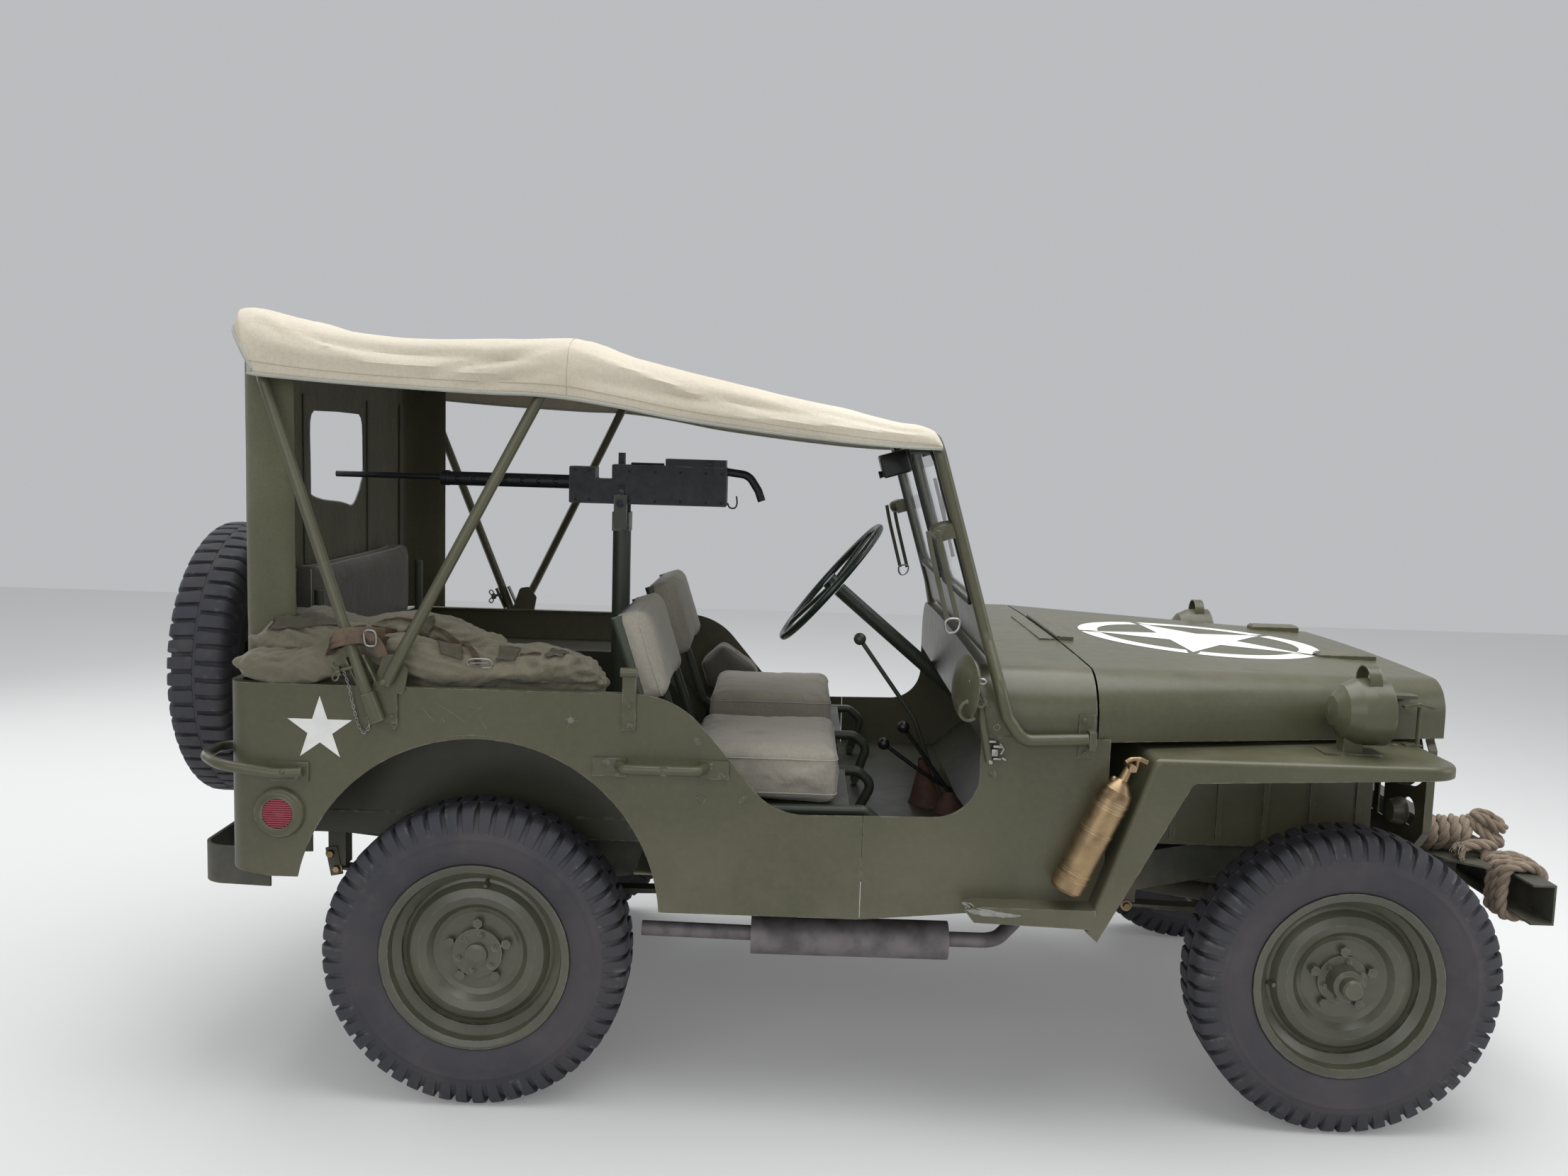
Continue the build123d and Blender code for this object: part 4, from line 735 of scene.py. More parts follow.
def box_loop(size, inset, level, axis, place):
    """Points round a rounded box at a level of one axis, in metres."""
    others = [k for k in range(3) if k != axis]
    half = [size[k] / 2000 for k in range(3)]
    corner = []
    for a, b in ((1, 1), (-1, 1), (-1, -1), (1, -1)):
        corner.append((a * (half[others[0]] - inset), b * (half[others[1]] - inset)))
    line = []
    for i in range(4):
        (a0, b0), (a1, b1) = corner[i], corner[(i + 1) % 4]
        for s in range(SEAM_STEPS):
            t = s / SEAM_STEPS
            point = [0, 0, 0]
            point[others[0]], point[others[1]] = a0 + (a1 - a0) * t, b0 + (b1 - b0) * t
            point[axis] = level / 1000
            line.append(place @ Vector(point))
    return line


def seat_pad(name, size, middle, tilt=0.0, body="car", node=None, levels=(), axis=2, voxel=0.007):
    """One cushion and its sewn edges, in place of its solid."""
    place = Matrix.Translation(at(*middle)) @ Matrix.Rotation(math.radians(tilt), 4, "Y")
    pad = blown_pad(name, [s - 2 * PAD_EDGE for s in size], PAD_BEVEL, place, PAD_CAP, voxel=voxel)
    bm = bmesh.new()
    for level in levels:
        seam_on(bm, pad, box_loop(size, 0.004, level, axis, place))
    piece(name + "_seams", bm, piping, body)
    if body != "car":
        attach(pad, body)
    if node:
        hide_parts(node)
    return pad


seat_pad("driver_cushion", (376, 430, 101), (660, 340, 797.5), node="driver_seat_cushion", levels=(28, -30))
seat_pad("passenger_cushion", (376, 430, 134), (660, -350, 781), node="passenger_seat_cushion",
         body="passenger_seat", levels=(40, -46))
seat_pad("driver_back", (84, 430, 232), (358, 340, 1058), -17.5, node="driver_seat_back", levels=(25, -25), axis=0)
seat_pad("passenger_back", (84, 430, 232), (358, -350, 1058), -17.5, node="passenger_seat_back",
         body="passenger_seat", levels=(25, -25), axis=0)
rear_cushion = seat_pad("rear_cushion", (320, 810, 90), (-265, 0, 882), levels=(24, -24), voxel=0.009)
rear_back = seat_pad("rear_back", (76, 810, 236), (-502, 0, 1122), levels=(22, -22), axis=0, voxel=0.009)
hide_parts("rear_seat_pads")
WEDGE = [(418, 858), (490, 922), (598, 850), (628, 779), (447, 773)]
mid_x, mid_z = 516, 846
side_pad = blown_pad("side_cushion", (0, 98, 0), 10,
                     Matrix.Translation(at(mid_x, 645, mid_z)), 7, voxel=0.006,
                     corners=[((x - mid_x) * 0.95, (z - mid_z) * 0.94) for x, z in WEDGE])
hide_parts("side_pad")
for made in (rear_cushion, rear_back, side_pad):
    made.data.materials[0] = worn_canvas
bm = bmesh.new()
for y in (-34, 34):
    ends = [Vector(((x - mid_x) / 1000 + at(mid_x, 0, 0).x, (645 + y) / 1000, z / 1000)) for x, z in WEDGE]
    seam_on(bm, side_pad, [a.lerp(b, s / 12) for a, b in zip(ends, ends[1:] + ends[:1]) for s in range(12)])
piece("side_cushion_seams", bm, piping)


# ---- Canvas roll ----
# A folded olive sheet on the right wheelhouse, tied to the rear bow and pinched there by its strap.
# Tubes for its folds are remeshed into one skin, which is creased, and loose flaps are laid on it.

bundle_canvas = cloth("bundle_canvas", (0.15, 0.138, 0.098), (0.25, 0.228, 0.165), (0.05, 0.044, 0.033), folds=0.006,
                      dirt=0.85)
dress("bundle_canvas", bundle_canvas)
FOLD_SIDES = 18


def roll(bm, spine):
    """One fold of the roll: a tube along (x, y, z, radius) points, pinched at its ends."""
    line = curved([at(x, y, z) for x, y, z, _ in spine], 7)
    radius = curved([(r / 1000, 0, 0) for _, _, _, r in spine], 7)
    rows = []
    for i, p in enumerate(line):
        ahead = (line[min(i + 1, len(line) - 1)] - line[max(i - 1, 0)]).normalized()
        wide = Vector((0, 1, 0))
        wide = (wide - ahead * wide.dot(ahead)).normalized()
        tall = ahead.cross(wide)
        rows.append([p + (wide * math.cos(a) + tall * math.sin(a)) * radius[i].x
                     for a in (2 * math.pi * k / FOLD_SIDES for k in range(FOLD_SIDES))])
    verts = add_grid(bm, rows, wrap_columns=True)
    bm.faces.new(verts[0])
    bm.faces.new(verts[-1])


bm = bmesh.new()
# the lower fold that bulges over the rail, from the rear tip to the front end
roll(bm, [(-540, -690, 1048, 10), (-505, -690, 1042, 30), (-450, -688, 1033, 36), (-405, -682, 1031, 40),
          (-345, -680, 1043, 38), (-290, -672, 1066, 32), (-240, -668, 1075, 30), (-190, -672, 1066, 36),
          (-120, -675, 1050, 35), (-50, -672, 1035, 33), (20, -668, 1032, 32), (90, -662, 1040, 31),
          (160, -655, 1046, 29), (225, -640, 1036, 27), (272, -620, 1012, 18), (290, -612, 1000, 8)])
# the upper fold behind the tie, open at its rear end
roll(bm, [(-520, -655, 1078, 10), (-490, -655, 1086, 26), (-440, -650, 1092, 42), (-390, -646, 1095, 46),
          (-330, -648, 1092, 40), (-285, -655, 1093, 31), (-250, -655, 1098, 28)])
roll(bm, [(-470, -600, 1118, 8), (-455, -600, 1118, 28), (-400, -596, 1122, 31), (-340, -592, 1112, 30),
          (-280, -600, 1106, 30), (-220, -600, 1112, 34), (-150, -600, 1112, 40), (-90, -600, 1104, 44),
          (-30, -598, 1078, 42), (40, -596, 1060, 36)])
# the body of the roll that rests on the wheelhouse
roll(bm, [(-500, -605, 1010, 24), (-440, -600, 1008, 70), (-330, -590, 1010, 84), (-200, -585, 1010, 88),
          (-80, -585, 1004, 88), (60, -583, 992, 84), (170, -580, 990, 80), (235, -580, 985, 62), (278, -580, 975, 26)])
roll(bm, [(-420, -585, 950, 30), (-340, -582, 952, 44), (100, -580, 952, 44), (230, -578, 950, 40),
          (275, -576, 948, 22)])
# the folds forward of the tie
roll(bm, [(-215, -690, 1088, 10), (-185, -688, 1090, 22), (-140, -684, 1080, 26), (-80, -672, 1068, 26),
          (-10, -662, 1058, 24), (60, -655, 1060, 20), (110, -650, 1062, 10)])
roll(bm, [(-20, -620, 1066, 10), (30, -622, 1064, 24), (90, -624, 1058, 30), (160, -620, 1054, 31),
          (215, -615, 1044, 28), (258, -610, 1022, 20), (280, -606, 1002, 8)])
bundle = piece("canvas_roll", bm, bundle_canvas)
remesh = bundle.modifiers.new("grain", "REMESH")
remesh.mode, remesh.voxel_size = "VOXEL", 0.0045
soften = bundle.modifiers.new("soften", "SMOOTH")
soften.factor, soften.iterations = 0.5, 3
bake(bundle)
bm = bmesh.new()
bm.from_mesh(bundle.data)
bm.normal_update()
for v in bm.verts:
    p = v.co
    bend = noise.noise(Vector((p.x * 5, p.y * 9, p.z * 9)))
    ridge = 1 - 2 * abs(noise.noise(Vector((p.x * 5 + bend * 2, p.y * 20, p.z * 21 + p.x * 5))))
    fold = 1 - 2 * abs(noise.noise(Vector((p.x * 9 + bend * 3, p.y * 34 - p.x * 9, p.z * 38 + p.x * 11))))
    fine = 1 - 2 * abs(noise.noise(Vector((p.x * 30 + bend * 3, p.y * 46, p.z * 60 - p.x * 18))))
    v.co = p + v.normal * (0.013 * (ridge - 0.5) + 0.0075 * (fold - 0.5) + 0.003 * (fine - 0.5) + 0.008 * bend)
    v.co.y = max(v.co.y, -0.722 if v.co.z < 1.012 else -0.735)
    v.co.z = max(v.co.z, 0.9065)
bm.to_mesh(bundle.data)
bm.free()


def tree_of(*solids):
    """The surface of some pieces, for rays that seat smaller ones on it."""
    graph = bpy.context.evaluated_depsgraph_get()
    return [BVHTree.FromObject(solid, graph) for solid in solids]


def seated(trees, p, way, lift=0.0006, reach=0.3):
    """The first surface met from outside along a direction, a little proud of it; the point itself if none is met."""
    way = Vector(way).normalized()
    hits = [tree.ray_cast(p - way * reach, way, 2 * reach) for tree in trees]
    hits = [h for h in hits if h[0]]
    return min(hits, key=lambda h: h[3])[0] - way * lift if hits else p


def add_layer(bm, rows, thick):
    """A grid of points given its thickness and added to a bmesh."""
    loose = bmesh.new()
    add_grid(loose, rows)
    bmesh.ops.solidify(loose, geom=list(loose.faces), thickness=thick)
    mesh = bpy.data.meshes.new("layer")
    loose.to_mesh(mesh)
    loose.free()
    bm.from_mesh(mesh)


FLAP_THICK, FLAP_STEPS = 0.0024, 14
INTO_ROLL = (0, 0.75, -0.66)


def add_flap(bm, corners, way, lift, lower):
    """A layer of cloth laid on a surface between four drawing points, its frayed edge a little raised."""
    a, b, c, d = (at(*p) for p in corners)
    rows = []
    for i in range(FLAP_STEPS + 1):
        s = i / FLAP_STEPS
        row = []
        for j in range(FLAP_STEPS + 1):
            t = j / FLAP_STEPS
            p = (a * (1 - s) + b * s) * (1 - t) + (d * (1 - s) + c * s) * t
            rim = 1 - 2 * min(s, 1 - s, t, 1 - t)
            fray = Vector((noise.noise(p * 130), noise.noise(p * 130 + Vector((9, 0, 0))), 0))
            p_frayed = p + fray * 0.006 * max(rim - 0.8, 0) * 5
            row.append(seated(lower, p_frayed, way, lift * (0.4 + 0.8 * rim) + 0.0025 * noise.noise(p * 40) + 0.0025))
        rows.append(row)
    add_layer(bm, rows, FLAP_THICK)


roll_trees = tree_of(bundle)
bm = bmesh.new()
bm.from_mesh(bundle.data)
for corners in (((-462, -640, 1150), (-318, -632, 1140), (-300, -652, 1108), (-474, -662, 1090)),
                ((-150, -640, 1158), (-104, -636, 1152), (-116, -668, 1118), (-176, -668, 1128)),
                ((-88, -668, 1096), (-32, -664, 1082), (-26, -682, 1046), (-72, -690, 1062)),
                ((160, -630, 1086), (204, -628, 1080), (200, -656, 1052), (158, -660, 1054)),
                ((52, -640, 1084), (94, -640, 1084), (92, -672, 1052), (48, -676, 1050))):
    add_flap(bm, corners, INTO_ROLL, 0.004, roll_trees)
bm.to_mesh(bundle.data)
bm.free()
bundle.data.shade_smooth()
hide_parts("canvas_bundle")


# ---- Straps of the roll ----
# Brown leather straps pressed round the roll, with a wire buckle at the low end and a clip at the bow.
# The leather follows the roll's surface, is smoothed along its length and gets its thickness last.

leather = plain("leather", (0.125, 0.085, 0.052), 0.6, vary=0.6, grain=40, bump=0.0006)
steel = plain("steel", (0.32, 0.32, 0.31), 0.38, 1.0, vary=0.5, rub=(0.5, 0.5, 0.48))
LEATHER_THICK = 0.004


def laid_band(bm, spine, across, width, way, lift=0.0055):
    """A strap pressed onto the roll: its spine and both edges follow the surface."""
    rows = []
    line = curved([at(*p) for p in spine], 8)
    for side in (-1, -0.5, 0, 0.5, 1):
        rows.append([seated(roll_trees, p + Vector(across).normalized() * side * width / 2, way, lift, 0.12)
                     for p in line])
    smooth_rows = [[(row[max(i - 1, 0)] + row[i] * 2 + row[min(i + 1, len(row) - 1)]) / 4 for i in range(len(row))]
                   for row in rows]
    add_layer(bm, smooth_rows, LEATHER_THICK)


bm = bmesh.new()
laid_band(bm, ((-246, -640, 1146), (-215, -640, 1152), (-160, -644, 1150), (-104, -652, 1136), (-52, -664, 1110),
               (-14, -676, 1084), (4, -684, 1062), (12, -690, 1044)), (0.35, -0.6, 0.7), 0.036, INTO_ROLL)
laid_band(bm, ((-330, -690, 1080), (-312, -700, 1092), (-292, -700, 1108), (-262, -700, 1116), (-232, -700, 1114),
               (-206, -700, 1110), (-192, -690, 1106)), (0.1, 0, 1), 0.044, (0, 1, -0.2), 0.006)
laid_band(bm, ((97, -660, 1070), (120, -660, 1068), (148, -660, 1066)), (0, -0.6, 0.8), 0.04, INTO_ROLL, 0.005)
for layer in (0, 1):
    wrap = [at(x, y, z + layer * gap) for x, y, z, gap in (
        (-318, -702, 1090, 10.8), (-300, -744, 1100, 12), (-272, -758, 1110, 12), (-244, -756, 1114, 10.8),
        (-218, -736, 1110, 12), (-204, -704, 1106, 10.8))]
    add_band(bm, curved(wrap, 8), (0.3, 0, 1), 0.026, 0.0045)
tail = curved([at(*p) for p in ((-232, -758, 1122), (-214, -750, 1112), (-202, -738, 1092), (-196, -730, 1070))], 6)
add_band(bm, tail, (1, 0, 0.2), 0.024, 0.004)
piece("roll_straps", bm, leather)
bm = bmesh.new()
low_end = seated(roll_trees, at(14, -690, 1046), INTO_ROLL, 0.008, 0.12)
for centre, w, h in ((low_end, 0.046, 0.018), (at(-216, -757, 1114), 0.022, 0.03)):
    corners = [centre + Vector((a * w / 2, -b * 0.004, b * h / 2)) for a, b in ((-1, -1), (1, -1), (1, 1), (-1, 1))]
    add_tube(bm, curved(corners, 5, closed=True), 0.0024, 8, closed=True)
add_tube(bm, [low_end + Vector((-0.02, 0, 0)), low_end + Vector((0.02, 0, 0.002))], 0.0018, 6)
piece("roll_buckles", bm, steel)


# ---- Bumper rope ----
# A three-strand rope of natural fibre, wound round the bumper and made up into a loose hank on its gusset.
# Its route is one smooth line; the strands turn about that line, and its end and hairs are frayed.

def rope_fibre():
    m = Material("rope_fibre")
    color = m.mix(m.noise(12, 4).between(0.3, 0.7), (0.2, 0.15, 0.105), (0.34, 0.275, 0.205))
    fibres = m.noise(260, 5, 0.7)
    color = m.mix(fibres.between(0.45, 0.7) * 0.5, color, (0.08, 0.052, 0.032))
    return m.finish(color, 0.9, [(fibres, 0.0012)], Specular_IOR_Level=0.15, Sheen_Weight=0.2)


rope_brown = rope_fibre()
dress("rope", rope_brown)

ROPE_D, TURN_PITCH = 26, 27
BUMPER_BACK, BUMPER_FRONT, BUMPER_LOW, BUMPER_HIGH = 2454, 2509, 507, 603
gap = ROPE_D / 2 + 3
turns = []
for k in range(4):
    y = -566 + TURN_PITCH * k
    turns += [(BUMPER_FRONT + gap, y, BUMPER_LOW - 2), (BUMPER_FRONT + gap, y + 2, BUMPER_HIGH - 12),
              (BUMPER_FRONT + gap - 6, y + 4, BUMPER_HIGH + gap), (BUMPER_BACK - 6, y + 9, BUMPER_HIGH + gap),
              (BUMPER_BACK - gap, y + 14, BUMPER_HIGH - 10), (BUMPER_BACK - gap, y + 18, BUMPER_LOW + 8),
              (BUMPER_BACK - 8, y + 21, BUMPER_LOW - gap), (BUMPER_FRONT + 6, y + 24, BUMPER_LOW - gap)]
turns = turns[1:-3]
hank = [(2446, -452, 630), (2440, -400, 620), (2380, -372, 618), (2326, -372, 618),
        (2316, -398, 611), (2322, -438, 650), (2330, -398, 693), (2337, -356, 650),
        (2344, -398, 611), (2350, -440, 652), (2357, -398, 696), (2364, -356, 650),
        (2371, -398, 611), (2378, -440, 652), (2385, -398, 698), (2392, -356, 650),
        (2399, -398, 611), (2406, -438, 650), (2413, -398, 694), (2420, -360, 656),
        (2446, -372, 622), (2488, -402, 628), (2492, -436, 640), (2452, -448, 652),
        (2424, -420, 684), (2448, -384, 704), (2490, -384, 690), (2506, -416, 672),
        (2474, -444, 676), (2434, -430, 704), (2426, -392, 690), (2462, -368, 668),
        (2500, -392, 650), (2482, -436, 634), (2440, -460, 640), (2404, -464, 644), (2376, -462, 632)]
route = [at(*p) for p in turns + hank]
rope_curve = bpy.data.curves.new("bumper_rope_line", "CURVE")
rope_curve.dimensions = "3D"
spline = rope_curve.splines.new("NURBS")
spline.points.add(len(route) - 1)
for point, place in zip(spline.points, route):
    point.co = (*place, 1)
spline.order_u, spline.use_endpoint_u, spline.resolution_u = 3, True, 10
line_object = bpy.data.objects.new("bumper_rope_line", rope_curve)
bpy.context.scene.collection.objects.link(line_object)
bpy.context.view_layer.update()
thread = bpy.data.meshes.new_from_object(line_object.evaluated_get(bpy.context.evaluated_depsgraph_get()))
path = [v.co.copy() for v in thread.vertices]
bpy.data.objects.remove(line_object)
lengths = np.cumsum([0] + [(b - a).length for a, b in zip(path, path[1:])])
total = float(lengths[-1])
samples = 900
even = [Vector(np.array([np.interp(total * k / samples, lengths, [p[n] for p in path]) for n in range(3)]))
        for k in range(samples + 1)]
STRANDS, LAY, STRAND_RADIUS, STRAND_OFFSET = 3, 0.088, 0.0072, 0.0066


def strands(bm, line):
    """Laid strands that turn about a line of even points."""
    normal = None
    frames = []
    for i, p in enumerate(line):
        ahead = (line[min(i + 1, len(line) - 1)] - line[max(i - 1, 0)]).normalized()
        if normal is None:
            normal = ahead.orthogonal().normalized()
        normal = (normal - ahead * normal.dot(ahead)).normalized()
        frames.append((p, normal, ahead.cross(normal)))
    step = (line[1] - line[0]).length
    for k in range(STRANDS):
        points = []
        for i, (p, n, other) in enumerate(frames):
            a = 2 * math.pi * (i * step / LAY + k / STRANDS)
            points.append(p + (n * math.cos(a) + other * math.sin(a)) * STRAND_OFFSET)
        add_tube(bm, points, STRAND_RADIUS, 9)


bm = bmesh.new()
strands(bm, even)
rope = piece("laid_rope", bm, rope_brown)
bm = bmesh.new()
rope_random = random.Random(7)
end, before = even[-1], even[-8]
run = (end - before).normalized()
for k in range(46):
    a = rope_random.uniform(0, 2 * math.pi)
    r = 0.010 * math.sqrt(rope_random.random())
    n = run.orthogonal().normalized()
    o = run.cross(n)
    start = end - run * 0.012 + (n * math.cos(a) + o * math.sin(a)) * r
    spread = (n * math.cos(a) + o * math.sin(a)) * rope_random.uniform(0.4, 1.0)
    reach = rope_random.uniform(0.045, 0.085)
    down = Vector((0.1, -0.75, -0.25))
    points = [start + (run * 0.5 + spread * 0.35 + down * 0.5 * s) * reach * s for s in (0, 0.25, 0.5, 0.75, 1.0)]
    points = [Vector((p.x, p.y, max(p.z, 0.6085 + 0.001 * (k % 5)))) for p in points]
    add_tube(bm, curved(points, 3), 0.0011, 5)
frayed = piece("rope_end", bm, rope_brown)
bm = bmesh.new()
for k in range(520):
    i = rope_random.randrange(4, samples - 4)
    p = even[i]
    ahead = (even[i + 1] - even[i - 1]).normalized()
    n = ahead.orthogonal().normalized()
    o = ahead.cross(n)
    a = rope_random.uniform(0, 2 * math.pi)
    out = n * math.cos(a) + o * math.sin(a)
    start = p + out * 0.0115
    tip = start + (out * rope_random.uniform(0.2, 0.8) + ahead * rope_random.uniform(-1, 1)) * 0.011
    add_tube(bm, [start, (start + tip) / 2 + ahead * 0.001, tip], [0.0004, 0.0003, 0.0001], 3)
hairs = piece("rope_hairs", bm, rope_brown)
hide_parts("bumper_rope")


# ---- Painted stars ----
# White five-pointed stars, one on each side of the body, and a large one in a broken ring on the hood.
# The side ones are thin flat plates; the hood's star and ring are laid on its curve and open with it.

white_paint = plain("white_paint", (0.74, 0.74, 0.71), 0.5, vary=0.12, grain=30)
NOTCH = 0.382


def star_points(outer, turn):
    """The five tips of a star and the notches between them, about its middle."""
    return [(outer * (1, NOTCH)[k % 2] * math.cos(turn + math.pi * k / 5),
             outer * (1, NOTCH)[k % 2] * math.sin(turn + math.pi * k / 5)) for k in range(10)]


SIDE_STAR_X, SIDE_STAR_Z, SIDE_STAR_R, SKIN_Y = -341, 897, 77, 724.5
for hand, name in ((-1, "right_star"), (1, "left_star")):
    bm = bmesh.new()
    outline = [bm.verts.new(at(SIDE_STAR_X + a, hand * SKIN_Y, SIDE_STAR_Z + b))
               for a, b in star_points(SIDE_STAR_R, math.pi / 2)]
    centre = bm.verts.new(at(SIDE_STAR_X, hand * SKIN_Y, SIDE_STAR_Z))
    for k in range(10):
        bm.faces.new((outline[k], outline[(k + 1) % 10], centre))
    made = bmesh.ops.extrude_face_region(bm, geom=list(bm.faces))["geom"]
    bmesh.ops.translate(bm, verts=[v for v in made if isinstance(v, bmesh.types.BMVert)],
                        vec=(0, hand * 0.0004, 0))
    piece(name, bm, white_paint, smooth=False)

hood_tree = tree_of(nodes["hood"])
STAR_X, STAR_R, RING_IN, RING_OUT, RING_BREAK, ABOVE_HOOD = 1838, 292, 268, 321, 0.034, 1080
bm = bmesh.new()
tips = star_points(STAR_R, math.pi)
steps = 12
for k in range(10):
    (ax, ay), (bx, by) = tips[k], tips[(k + 1) % 10]
    rows = [[at(STAR_X + (ax + (bx - ax) * j / steps) * i / steps, (ay + (by - ay) * j / steps) * i / steps, ABOVE_HOOD)
             for j in range(steps + 1)] for i in range(steps + 1)]
    add_grid(bm, [[seated(hood_tree, p, (0, 0, -1)) for p in row] for row in rows])
for k in range(5):
    first = math.pi + 2 * math.pi * k / 5
    rows = []
    for r in np.linspace(RING_IN, RING_OUT, 5):
        space = RING_BREAK + (RING_OUT - r) * 0.0006
        a, b = first + space, first + 2 * math.pi / 5 - space
        turned = [a + (b - a) * s / 40 for s in range(41)]
        rows.append([seated(hood_tree, at(STAR_X + r * math.cos(t), r * math.sin(t), ABOVE_HOOD), (0, 0, -1))
                     for t in turned])
    add_grid(bm, rows)
bmesh.ops.remove_doubles(bm, verts=bm.verts, dist=1e-5)
bmesh.ops.solidify(bm, geom=list(bm.faces), thickness=0.0003)
piece("hood_star", bm, white_paint, "hood")


# ---- Bolts and rivets, and the scratches in the paint ----
# Hexagonal and domed heads with washers, each seated on the surface that it holds, on both sides alike.
# The scratches and the dent's cracks are thin bright lines where the paint has gone.

def lathe(bm, outline, steps=48, matrix=Matrix()):
    """Revolve (radius, height) points about Z, then place the result."""
    verts = [bm.verts.new(matrix @ Vector((r / 1000, 0, h / 1000))) for r, h in outline]
    edges = [bm.edges.new(pair) for pair in zip(verts, verts[1:])]
    axis = (matrix.to_3x3() @ Vector((0, 0, 1))).normalized()
    bmesh.ops.spin(bm, geom=verts + edges, cent=matrix.translation, axis=axis, angle=2 * math.pi, steps=steps,
                   use_merge=True)
    bmesh.ops.remove_doubles(bm, verts=bm.verts, dist=1e-6)


def add_bolt(bm, place, direction, radius, height, sides=6, washer=0):
    """A hexagonal or domed head, with a washer under it."""
    matrix = facing(place, direction)
    if washer:
        bmesh.ops.create_cone(bm, cap_ends=True, segments=20, radius1=washer / 1000, radius2=washer / 1000,
                              depth=0.003, matrix=matrix)
    steps = ((0, 1), (0.75, 1), (1, 0.82)) if sides == 6 else ((0, 1), (0.45, 0.92), (0.8, 0.66), (1, 0.3))
    rows = [[matrix @ Vector((radius * s * math.cos(2 * math.pi * k / sides) / 1000,
                              radius * s * math.sin(2 * math.pi * k / sides) / 1000, height * h / 1000))
             for k in range(sides)] for h, s in steps]
    verts = add_grid(bm, rows, wrap_columns=True)
    bm.faces.new(verts[-1])


side_trees = tree_of(*(nodes[n] for n in ("body_tub", "cowl", "brackets", "grab_handles", "front_bow", "rear_bow",
                                          "windshield_frame")))
bm = bmesh.new()
for hand in (-1, 1):
    for x, y, z, r, h, sides, washer in (
            (514, 724, 899, 6.5, 4, 6, 11), (442, 724, 839, 6.5, 4, 6, 11), (521, 724, 762, 6.5, 4, 6, 11),
            (618, 724, 765, 6.5, 4, 6, 11), (544, 731, 843, 5.5, 3.5, 6, 9), (569, 731, 822, 5.5, 3.5, 6, 9),
            (307, 731, 843, 5.5, 3.5, 6, 9), (330, 731, 822, 5.5, 3.5, 6, 9), (-414, 731, 806, 6, 4, 12, 0),
            (-386, 731, 791, 6, 4, 12, 0), (356.5, 730, 973, 6.5, 4.5, 6, 10), (356.5, 730, 929, 6.5, 4.5, 6, 10),
            (-172, 724, 907, 7.5, 6, 6, 12), (-224, 731, 934, 6, 4, 6, 0), (-176, 731, 934, 6, 4, 6, 0),
            (-189, 757.5, 1014, 8, 5, 12, 0), (1183, 724, 951, 5.5, 4.5, 12, 8), (1188, 724, 921, 5.5, 4.5, 12, 8),
            (1177, 724, 844, 6, 5, 6, 9), (1377, 727.6, 973, 6, 4.5, 6, 9), (1381, 727.6, 899, 6, 4.5, 6, 9)):
        place = seated(side_trees, at(x, hand * y, z), (0, -hand, 0), 0, 0.06)
        add_bolt(bm, place, (0, hand, 0), r, h, sides, washer)
    fender_tree = tree_of(nodes["right_fender" if hand < 0 else "left_fender"])
    for x, y in ((1975, 625), (1975, 685), (2060, 625), (2060, 685), (1560, 560), (1760, 540), (2150, 560)):
        add_bolt(bm, seated(fender_tree, at(x, hand * y, 905), (0, 0, -1), 0, 0.05), (0, 0, 1), 6, 4, 6, 9)
grille_tree = tree_of(nodes["grille"])
for y, z in ((-300, 655), (-300, 985), (300, 655), (300, 985), (-430, 760), (430, 760), (0, 1000)):
    add_bolt(bm, seated(grille_tree, at(2282, y, z), (-1, 0, 0), 0), (1, 0, 0), 5, 3, 6, 8)
piece("body_bolts", bm, olive)

SCRATCHES = (((-109, 954), (-95, 936), (-81, 922)), ((-86, 968), (-53, 951), (-7, 920)),
             ((38, 968), (34, 949), (24, 938), (11, 920)), ((-7, 962), (16, 956), (36, 966)),
             ((-5, 930), (8, 950), (28, 958)), ((-58, 888), (-24, 893), (8, 894.5), (34, 893), (58, 889)),
             ((-20, 892), (0, 895.5), (22, 894)), ((-66, 934), (-58, 920)), ((20, 930), (34, 912), (40, 896)))
SCRATCH_Y, DENT_X, DENT_Z = -724.3, 225, 936
bm = bmesh.new()
for marks in SCRATCHES:
    points = curved([at(x, SCRATCH_Y, z) for x, z in marks], 6)
    add_tube(bm, points, [0.0005 * math.sin(math.pi * (i + 0.6) / (len(points) + 0.2)) + 0.0001
                          for i in range(len(points))], 5)
for k in range(9):
    a = 0.4 + 2 * math.pi * k / 9 + 0.3 * math.sin(k * 2.7)
    r = 15 + 8 * math.sin(k * 4.1)
    add_tube(bm, [at(DENT_X + 5 * math.cos(a), SCRATCH_Y, DENT_Z + 5 * math.sin(a)),
                  at(DENT_X + r * math.cos(a + 0.12), SCRATCH_Y, DENT_Z + r * math.sin(a + 0.12))],
             [0.0009, 0.0002], 5)
lathe(bm, [(7, 0.4), (5, 0.9), (2.5, 0.5), (0, 0.4)], 14, facing(at(DENT_X, SCRATCH_Y, DENT_Z), (0, -1, 0)))
scratched = plain("scratched_paint", (0.17, 0.165, 0.13), 0.6, vary=0.4)
piece("paint_scratches", bm, scratched)


# ---- Side reflectors ----
# Ribbed red discs in pressed olive bezels, one low on each rear corner of the body.
# The bezel is turned about its axis, and the ribs are bars laid across the disc.

